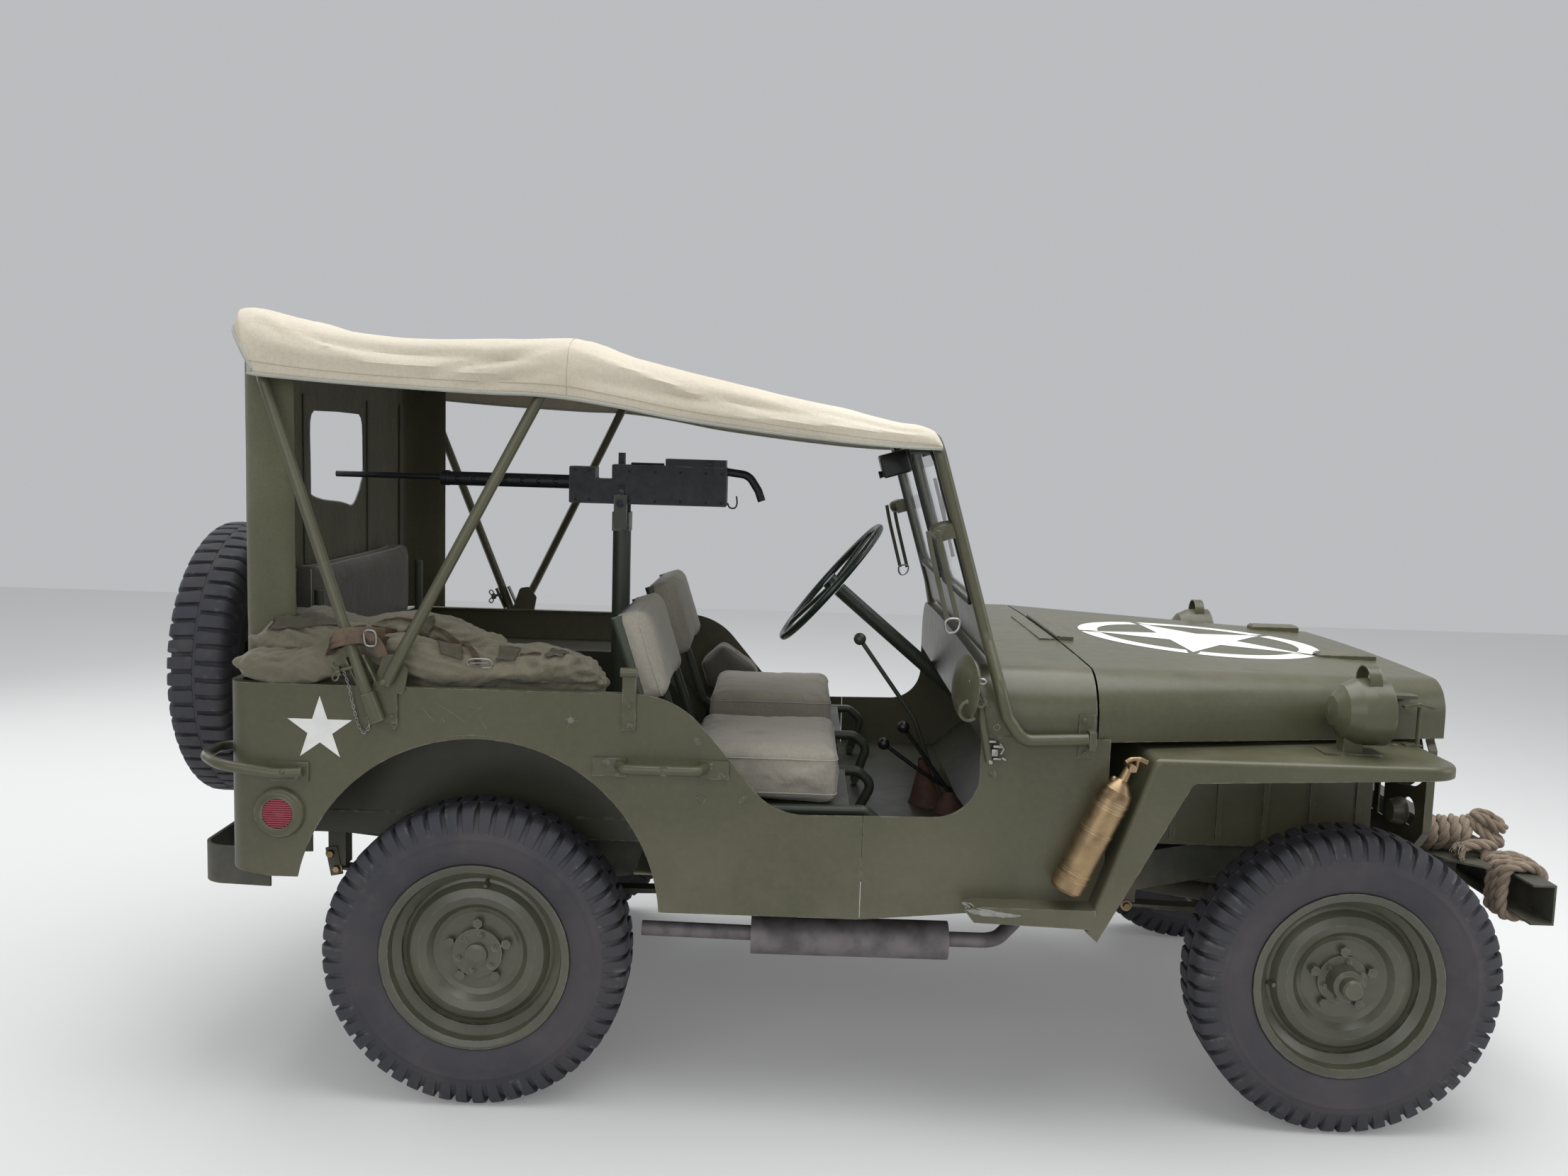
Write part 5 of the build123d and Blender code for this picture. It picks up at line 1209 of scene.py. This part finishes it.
lens_red = plain("lens_red", (0.3, 0.05, 0.07), 0.25, vary=0.3, Coat_Weight=0.4)
REFLECTOR_X, REFLECTOR_Z, LENS_R, RIB_Y = -434, 703, 34, 737.6
bm = bmesh.new()
for hand in (-1, 1):
    lathe(bm, [(34.5, 11), (35, 15), (38, 16), (41, 14.6), (44, 12), (50, 11.4), (54, 12), (57, 9), (58.6, 0)], 56,
          facing(at(REFLECTOR_X, hand * SKIN_Y, REFLECTOR_Z), (0, hand, 0)))
piece("reflector_bezels", bm, olive)
bm = bmesh.new()
for hand in (-1, 1):
    for k in range(13):
        z = (k - 6) * 5.1
        half = math.sqrt(max(LENS_R ** 2 - z * z, 1))
        bar = [at(REFLECTOR_X + x, hand * RIB_Y, REFLECTOR_Z + z) for x in np.linspace(-half, half, 7)]
        add_tube(bm, bar, 0.0021, 7)
piece("reflector_ribs", bm, lens_red)


# ---- Feet of the rear bow ----
# Two guide plates, a wing screw and its nut on each side hold the bow's leg in its socket.
# On the right a keeper chain hangs from the screw, link by link, to a rivet on the body.

bm = bmesh.new()
for hand in (-1, 1):
    for x0, z0, x1, z1 in ((-276, 1066, -246, 1000), (-236, 1074, -208, 1014)):
        a, b = at(x0, hand * 732, z0), at(x1, hand * 732, z1)
        add_band(bm, [a, a.lerp(b, 0.5), b], (0, 1, 0), 0.03, 0.0035)
    add_tube(bm, [at(-246, hand * 745, 1050), at(-292, hand * 748, 1036)], 0.0045, 10)
    add_bolt(bm, at(-284, hand * 748, 1038), (-1, 0, -0.3), 11, 12, 6)
    for k in (-1, 1):
        wing = [at(x, hand * 748, 1036 + z * k) for x, z in ((-294, 4), (-304, 14), (-298, 22), (-290, 14))]
        add_tube(bm, curved(wing, 4, closed=True), 0.0022, 6, closed=True)
piece("bow_screws", bm, olive)
bm = bmesh.new()
hang = curved([at(*p) for p in ((-280, -746, 1034), (-276, -744, 1026), (-270, -738, 999), (-266, -733, 971),
                                (-259, -731, 939), (-252, -731, 912), (-240, -731, 895), (-229, -731, 905),
                                (-224, -733, 931))], 10)
run_length = np.cumsum([0] + [(b - a).length for a, b in zip(hang, hang[1:])])
links = int(run_length[-1] / 0.0078)
for k in range(links):
    d = run_length[-1] * (k + 0.5) / links
    i = int(np.searchsorted(run_length, d)) - 1
    ahead = (hang[min(i + 1, len(hang) - 1)] - hang[i]).normalized()
    middle = hang[i].lerp(hang[min(i + 1, len(hang) - 1)], 0.5)
    flat_way = Vector((0, 1, 0)) if k % 2 else ahead.cross(Vector((0, 1, 0))).normalized()
    oval = [middle + ahead * 0.0052 * math.cos(a) + flat_way * 0.0026 * math.sin(a)
            for a in (2 * math.pi * j / 10 for j in range(10))]
    add_tube(bm, oval, 0.0008, 5, closed=True)
piece("keeper_chain", bm, steel)


# ---- Windshield fittings ----
# Arm clamps with webbing and steel loops, rubber glass beads, and a wiper motor with two arms and blades.
# All are placed on the leaning plane of the windshield, and none of them moves.

black_plastic = plain("black_plastic", (0.012, 0.012, 0.013), 0.35, vary=0.4)
dark_rubber = plain("dark_rubber", (0.02, 0.02, 0.021), 0.7, vary=0.5)
wind_low, wind_top = Vector((1176, 0, 1088)), Vector((1027, 0, 1588))
lean = (wind_top - wind_low).normalized()
face_out = Vector((lean.z, 0, -lean.x))


def on_frame(y, up, out=0.0):
    """A point on the leaning windshield: across, up from the cowl and forward of its middle plane."""
    p = wind_low + lean * up + face_out * out
    return at(p.x, y, p.z)


bm = bmesh.new()
for hand in (-1, 1):
    line = [on_frame(hand * 655, 318, -4), on_frame(hand * 660, 322, -36), on_frame(hand * 664, 318, -62)]
    add_tube(bm, curved(line, 5),
             [0.017, 0.018, 0.0185, 0.019, 0.0195, 0.0195, 0.0195, 0.019, 0.018, 0.016, 0.012], 14)
    add_bolt(bm, on_frame(hand * 680, 318, -50), (0, hand, 0), 9, 5, 6, 13)
piece("arm_clamps", bm, olive)
bm = bmesh.new()
for hand in (-1, 1):
    for shift in (0, 23):
        points = [at(x + shift, hand * y, z)
                  for x, y, z in ((1014, 690, 1384), (1026, 692, 1330), (1046, 693, 1255), (1066, 693, 1182))]
        add_band(bm, curved(points, 6), (1, 0, 0.3), 0.011, 0.0022)
piece("arm_straps", bm, webbing)
bm = bmesh.new()
for hand in (-1, 1):
    loop = [at(x, hand * y, z) for x, y, z in ((1064, 693, 1186), (1062, 694, 1168), (1070, 695, 1157),
                                               (1084, 695, 1160), (1092, 694, 1172), (1090, 693, 1188))]
    add_tube(bm, curved(loop, 5, closed=True), 0.003, 8, closed=True)
piece("arm_loops", bm, steel)

bm = bmesh.new()
corners = [on_frame(150 + a * 37, 470 + b * 33, -48 + c * 41) for a in (-1, 1) for b in (-1, 1) for c in (-1, 1)]
bmesh.ops.convex_hull(bm, input=[bm.verts.new(p) for p in corners])
bmesh.ops.bevel(bm, geom=list(bm.edges), offset=0.006, segments=3, profile=0.5, affect="EDGES", material=-1)
add_tube(bm, [on_frame(150, 505, -30), on_frame(150, 516, -30)], 0.012, 14)
add_tube(bm, [on_frame(150, 450, -88), on_frame(150, 450, -100)], [0.009, 0.011], 12)
add_tube(bm, [on_frame(186, 470, -52), on_frame(202, 470, -52)], 0.008, 12)
for y, swing in ((150, -0.5), (-330, 0.45)):
    pivot = on_frame(y, 488, 16)
    foot = on_frame(y + swing * 200, 300, 15)
    add_tube(bm, [on_frame(y, 488, -10), pivot], 0.006, 10)
    add_tube(bm, curved([pivot, pivot.lerp(foot, 0.5) + Vector((0.004, 0, 0)), foot], 5), 0.0026, 8)
    a, b = on_frame(y + swing * 200 - 20, 420, 13), on_frame(y + swing * 200 + 16, 210, 13)
    add_band(bm, [a.lerp(b, s / 8) for s in range(9)], tuple(face_out), 0.009, 0.004)
piece("wiper_motor", bm, black_plastic)
bm = bmesh.new()
for y0 in (-325, 325):
    for out in (-10.5, 10.5):
        ring = [(y0 - 305, 135), (y0 + 305, 135), (y0 + 305, 495), (y0 - 305, 495)]
        outline = []
        for (ay, az), (by, bz) in zip(ring, ring[1:] + ring[:1]):
            outline += [on_frame(ay + (by - ay) * s / 16, az + (bz - az) * s / 16, out) for s in range(1, 16)]
        add_tube(bm, outline, 0.005, 6, closed=True)
piece("glass_beads", bm, dark_rubber)


# ---- Mirror, hold-down hook and latch ----
# A round mirror on a bent post, the windshield's wire hook and the wing screw and latch of its right hinge.
# The mirror is turned about its axis, and the rods are bent along smooth lines.

def add_box(bm, low, high, bevel):
    """A box between two drawing points with its edges rounded, in millimetres."""
    low, high = at(*low), at(*high)
    made = bmesh.ops.create_cube(bm, size=1)["verts"]
    size, middle = high - low, (high + low) / 2
    for v in made:
        v.co = Vector(v.co[i] * size[i] + middle[i] for i in range(3))
    edges = list({e for v in made for e in v.link_edges})
    if bevel:
        bmesh.ops.bevel(bm, geom=edges, offset=bevel / 1000, segments=2, profile=0.5, affect="EDGES",
                        clamp_overlap=True, material=-1)


bm = bmesh.new()
mirror_face = facing(at(1110, -706, 1036), (-0.955, -0.29, 0.05))
lathe(bm, [(0, 17), (22, 16), (44, 12.5), (60, 7.5), (70, 2.5), (74, 0), (74.5, -2.5), (72, -4), (68, -3.4), (0, -3.2)],
      48, mirror_face)
post = ((1114, -708, 1030), (1126, -716, 1022), (1138, -728, 1010), (1146, -733, 985))
bracket = ((1143, -733, 1004), (1148, -734, 972), (1156, -734, 930), (1168, -733, 874))
rod = ((1135, -742, 1046), (1143, -744, 1026), (1157, -745, 1001))
hook = ((1152, -740, 996), (1158, -742, 1003), (1152, -745, 1008), (1143, -747, 999), (1133, -748, 1003),
        (1126, -748, 1011), (1112, -748, 1012), (1100, -748, 1004), (1095, -748, 987), (1102, -748, 974),
        (1116, -748, 969), (1129, -748, 975))
for points, steps, radius, sides in ((post, 6, 0.0055, 10), (bracket, 6, 0.0085, 12),
                                     (rod, 5, [0.004] * 5 + [0.0045] * 6, 8), (hook, 5, 0.0042, 9)):
    add_tube(bm, curved([at(*p) for p in points], steps), radius, sides)
piece("mirror_and_hook", bm, olive)
bm = bmesh.new()
for k in (-1, 1):
    wing = [at(1132 + x * k, y, z) for x, y, z in ((3, -746, 1054), (12, -748, 1052), (18, -748, 1057),
                                                   (13, -748, 1062), (4, -746, 1061))]
    add_tube(bm, curved(wing, 4, closed=True), 0.0032, 8, closed=True)
add_tube(bm, [at(1132, -745, 1046), at(1132, -746, 1070)], [0.0055, 0.004], 10)
for x, z, w, h in ((1172, 921, 16, 5), (1184, 910, 20, 6), (1178, 896, 14, 16), (1184, 882, 18, 5), (1170, 874, 9, 9)):
    add_box(bm, (x - w / 2, -742, z - h / 2), (x + w / 2, -728, z + h / 2), 1.6)
add_tube(bm, [at(1190, -737, 916), at(1198, -740, 905), at(1192, -738, 893)], 0.003, 8)
add_tube(bm, [at(1196, -736, 884), at(1204, -738, 879)], 0.0028, 8)
piece("wing_screw_and_latch", bm, steel)


# ---- Lamps and radiator ----
# Rims, fluted glass and silvered bowls for the head lamps and the markers under them.
# Behind the grille's slots stand the radiator's upright fins and the tubes across them.

chrome = plain("chrome", (0.7, 0.7, 0.68), 0.16, 1.0, vary=0.3)
core_black = plain("core_black", (0.014, 0.014, 0.013), 0.7, vary=0.4)
LAMP_X, LAMP_Y, LAMP_Z, MARKER_Z = 2258, 385, 850, 700


def lamp_place(hand, z):
    return facing(at(LAMP_X, hand * LAMP_Y, z), (1, 0, 0))


bm = bmesh.new()
for hand in (-1, 1):
    lathe(bm, [(74, 5.5), (77, 9), (81, 8.5), (83, 4), (83, -4), (80.2, -6)], 56, lamp_place(hand, LAMP_Z))
    lathe(bm, [(30, 5), (32.5, 7.5), (34.5, 6), (34.8, -3), (33, -5)], 36, lamp_place(hand, MARKER_Z))
piece("lamp_rims", bm, olive)
lens_tree = tree_of(nodes["head_lamps"])
for name, grow, finish in (("lamp_bowls", 1.8, olive), ("lamp_mirrors", 0.8, chrome)):
    bm = bmesh.new()
    for hand in (-1, 1):
        lathe(bm, [(0, -44 - grow), (40 + grow * 0.5, -40 - grow), (70 + grow * 0.7, -24 - grow * 0.7),
                   (80 + grow, -6 - grow * 0.3), (80 + grow, -2)], 48, lamp_place(hand, LAMP_Z))
        lathe(bm, [(0, -30 - grow), (26 + grow * 0.5, -26 - grow), (33 + grow * 0.6, -6), (33 + grow * 0.6, -2)], 32,
              lamp_place(hand, MARKER_Z))
    piece(name, bm, finish)
bm = bmesh.new()
for hand in (-1, 1):
    for k in range(-6, 7):
        y = k * 10.5
        half = math.sqrt(70 ** 2 - y * y)
        add_tube(bm, [seated(lens_tree, at(2262, hand * LAMP_Y + y, LAMP_Z + z), (-1, 0, 0), 0.0004)
                      for z in np.linspace(-half, half, 13)], 0.0016, 5)
piece("lamp_flutes", bm, lamp_glass)
bm = bmesh.new()
for y in range(-222, 223, 6):
    add_box(bm, (2242.5, y - 0.5, 644), (2245.5, y + 0.5, 946), 0)
for z in range(652, 946, 14):
    add_box(bm, (2243, -222, z - 1.6), (2247, 222, z + 1.6), 0)
piece("radiator_fins", bm, core_black)


# ---- Lever boots and short levers ----
# Creased boots of reddish rubber round the feet of the gear levers, and two short levers with round knobs.
# The boots are turned about the levers and then pushed about a little; the rods are bent.

boot_red = plain("boot_red", (0.085, 0.04, 0.028), 0.75, vary=0.5)
bm = bmesh.new()
for outline, foot, tip in (
        ([(58, 0), (50, 8), (40, 34), (27, 66), (15, 102), (11, 128)], (1108, -40, 590), (1086, -52, 724)),
        ([(46, 0), (40, 10), (30, 26), (18, 42), (11, 54)], (1160, -120, 590), (1158, -122, 644))):
    lathe(bm, outline, 28, facing(at(*foot), at(*tip) - at(*foot)))
for v in bm.verts:
    dents = noise.noise(v.co * 42), noise.noise(v.co * 42 + Vector((5, 5, 5)))
    v.co += Vector((0.004 * dents[0], 0.004 * dents[1], 0))
piece("lever_boots", bm, boot_red)
bm = bmesh.new()
for points in (((1158, -122, 640), (1092, -124, 730), (1026, -124, 818)),
               ((1168, -96, 640), (1080, -100, 692), (976, -104, 766))):
    add_tube(bm, curved([at(*p) for p in points], 6), 0.0055, 9)
    bmesh.ops.create_uvsphere(bm, u_segments=20, v_segments=12, radius=0.0165,
                              matrix=Matrix.Translation(at(*points[-1])))
piece("short_levers", bm, black_plastic)


# ---- Gun fittings ----
# Trigger loop, cover catch, rivets, sight base and barrel sleeve of the dummy gun, in dark steel.
# They are all fixed: the gun is solid and stays locked on its pedestal.

bm = bmesh.new()
trigger_loop = ((528, 0, 1404), (534, 0, 1392), (548, 0, 1391), (554, 0, 1404), (552, 0, 1424))
add_tube(bm, curved([at(*p) for p in trigger_loop], 6), 0.0022, 8)
for x in (112, 150, 260, 330, 400, 470, 512):
    for z in (1404, 1484):
        for hand in (-1, 1):
            add_bolt(bm, at(x, hand * 32, z), (0, hand, 0), 3.6, 2.2, 12)
for hand in (-1, 1):
    add_box(bm, (228, hand * 34 - 2.5, 1400), (246, hand * 34 + 2.5, 1446), 2)
    add_bolt(bm, at(237, hand * 37, 1422), (0, hand, 0), 7, 5, 6, 10)
    add_bolt(bm, at(238, hand * 46, 1396), (0, hand, 0), 8, 6, 6, 12)
add_box(bm, (262, -20, 1502), (350, 20, 1508), 2)
add_tube(bm, [at(-250, 0, 1450), at(95, 0, 1450)], 0.0128, 14)
add_box(bm, (470, -36.5, 1505), (488, 36.5, 1516), 2)
piece("gun_fittings", bm, gun_steel)


# ---- Running gear ----
# Shackle links and brass nuts on the leaf springs, seated on the springs' own outside faces.
# Six hub bolts and a valve stem on each road wheel turn and steer with it.

spring_trees = tree_of(nodes["leaf_springs"])
bm = bmesh.new()
links = bmesh.new()
for hand in (-1, 1):
    for x, z, dx, dz in ((-430, 455, -14, 40), (470, 425, 0, 0), (1590, 425, 0, 0), (2380, 455, 10, 38)):
        eye = seated(spring_trees, at(x, hand * 560, z), (0, -hand, 0), 0)
        add_bolt(bm, eye + Vector((0, hand * 0.006, 0)), (0, hand, 0), 10, 9, 6, 14)
        if dz:
            top_eye = eye + Vector((dx, 0, dz)) / 1000
            add_bolt(bm, top_eye + Vector((0, hand * 0.006, 0)), (0, hand, 0), 10, 9, 6, 14)
            ends = [eye + Vector((0, hand * 0.003, -0.016)), eye.lerp(top_eye, 0.5) + Vector((0, hand * 0.003, 0)),
                    top_eye + Vector((0, hand * 0.003, 0.016))]
            add_band(links, ends, (1, 0, 0.3), 0.03, 0.007)
piece("spring_shackles", links, castings)
piece("shackle_nuts", bm, brass)

HUB_BOLT_R, VALVE_R, REAR_VALVE, FRONT_VALVE = 44, 178, 83, 184
for name, x, hand in WHEELS:
    y = hand * WHEEL_Y
    disc_tree = tree_of(nodes[name + "_disc"])
    bm = bmesh.new()
    for k in range(6):
        a = 0.3 + 2 * math.pi * k / 6
        place = seated(disc_tree, at(x + HUB_BOLT_R * math.cos(a), y, AXLE_Z + HUB_BOLT_R * math.sin(a)),
                       (0, -hand, 0), 0)
        add_bolt(bm, place, (0, hand, 0), 6.5, 5, 6, 9)
    a = math.radians(FRONT_VALVE if x else REAR_VALVE)
    foot = seated(disc_tree, at(x + VALVE_R * math.cos(a), y, AXLE_Z + VALVE_R * math.sin(a)), (0, -hand, 0), -0.004)
    tip = foot + Vector((-math.cos(a) * 0.012, hand * 0.026, -math.sin(a) * 0.012))
    add_tube(bm, [foot, foot.lerp(tip, 0.5), foot.lerp(tip, 0.52), tip], [0.0042, 0.0042, 0.0055, 0.005], 12)
    piece(name + "_hub_bolts", bm, wheel_olive, name + "_wheel")


# ---- Side handles, extinguisher and chipped paint ----
# Round grab bars over the body's side plates, and the brass handle, spout and knob of the extinguisher.
# On the step's front edge the paint has flaked off to the pale primer.

bm = bmesh.new()
for hand in (-1, 1):
    bar = [at(x, hand * y, 838) for x, y in ((338, 735), (346, 758), (362, 767), (430, 768), (505, 767), (521, 758),
                                             (531, 735))]
    add_tube(bm, curved(bar, 6), 0.0118, 16)
piece("handle_bars", bm, olive)
PUMP_Y = -765
bm = bmesh.new()
add_tube(bm, curved([at(x, PUMP_Y, z) for x, z in ((1466, 889), (1478, 896), (1494, 897), (1512, 890))], 6),
         [0.0062] * 7 + [0.0052] * 5 + [0.0062] * 7, 12)
add_tube(bm, curved([at(x, PUMP_Y, z) for x, z in ((1486, 868), (1490, 882), (1492, 896))], 4), 0.0052, 12)
add_tube(bm, [at(1470, PUMP_Y, 846), at(1442, PUMP_Y, 850)], [0.006, 0.0048], 12)
bmesh.ops.create_uvsphere(bm, u_segments=18, v_segments=10, radius=0.0085,
                          matrix=Matrix.Translation(at(1441, PUMP_Y, 850)))
piece("extinguisher_handle", bm, brass)

CHIP = ((1118, 556), (1138, 540), (1176, 535), (1222, 534), (1248, 540), (1210, 544), (1179, 549), (1142, 554))
primer = plain("bare_primer", (0.28, 0.28, 0.25), 0.6, vary=0.5)
step_trees = tree_of(nodes["right_fender"], nodes["body_tub"])
middle_x, middle_z = np.mean(CHIP, axis=0)
loop = curved([(x / 1000, 0, z / 1000) for x, z in CHIP], 6, closed=True)
loop = [(p.x * 1000 + 3 * noise.noise(Vector((p.x * 90, 0, p.z * 90))),
         p.z * 1000 + 3 * noise.noise(Vector((p.x * 90, 7, p.z * 90)))) for p in loop]
bm = bmesh.new()
add_grid(bm, [[seated(step_trees, at(middle_x + (x - middle_x) * f, -760, middle_z + (z - middle_z) * f),
                      (0, 1, 0), 0.0005, 0.1) for x, z in loop] for f in (0.02, 0.35, 0.7, 1.0)], wrap_columns=True)
piece("chipped_paint", bm, primer)
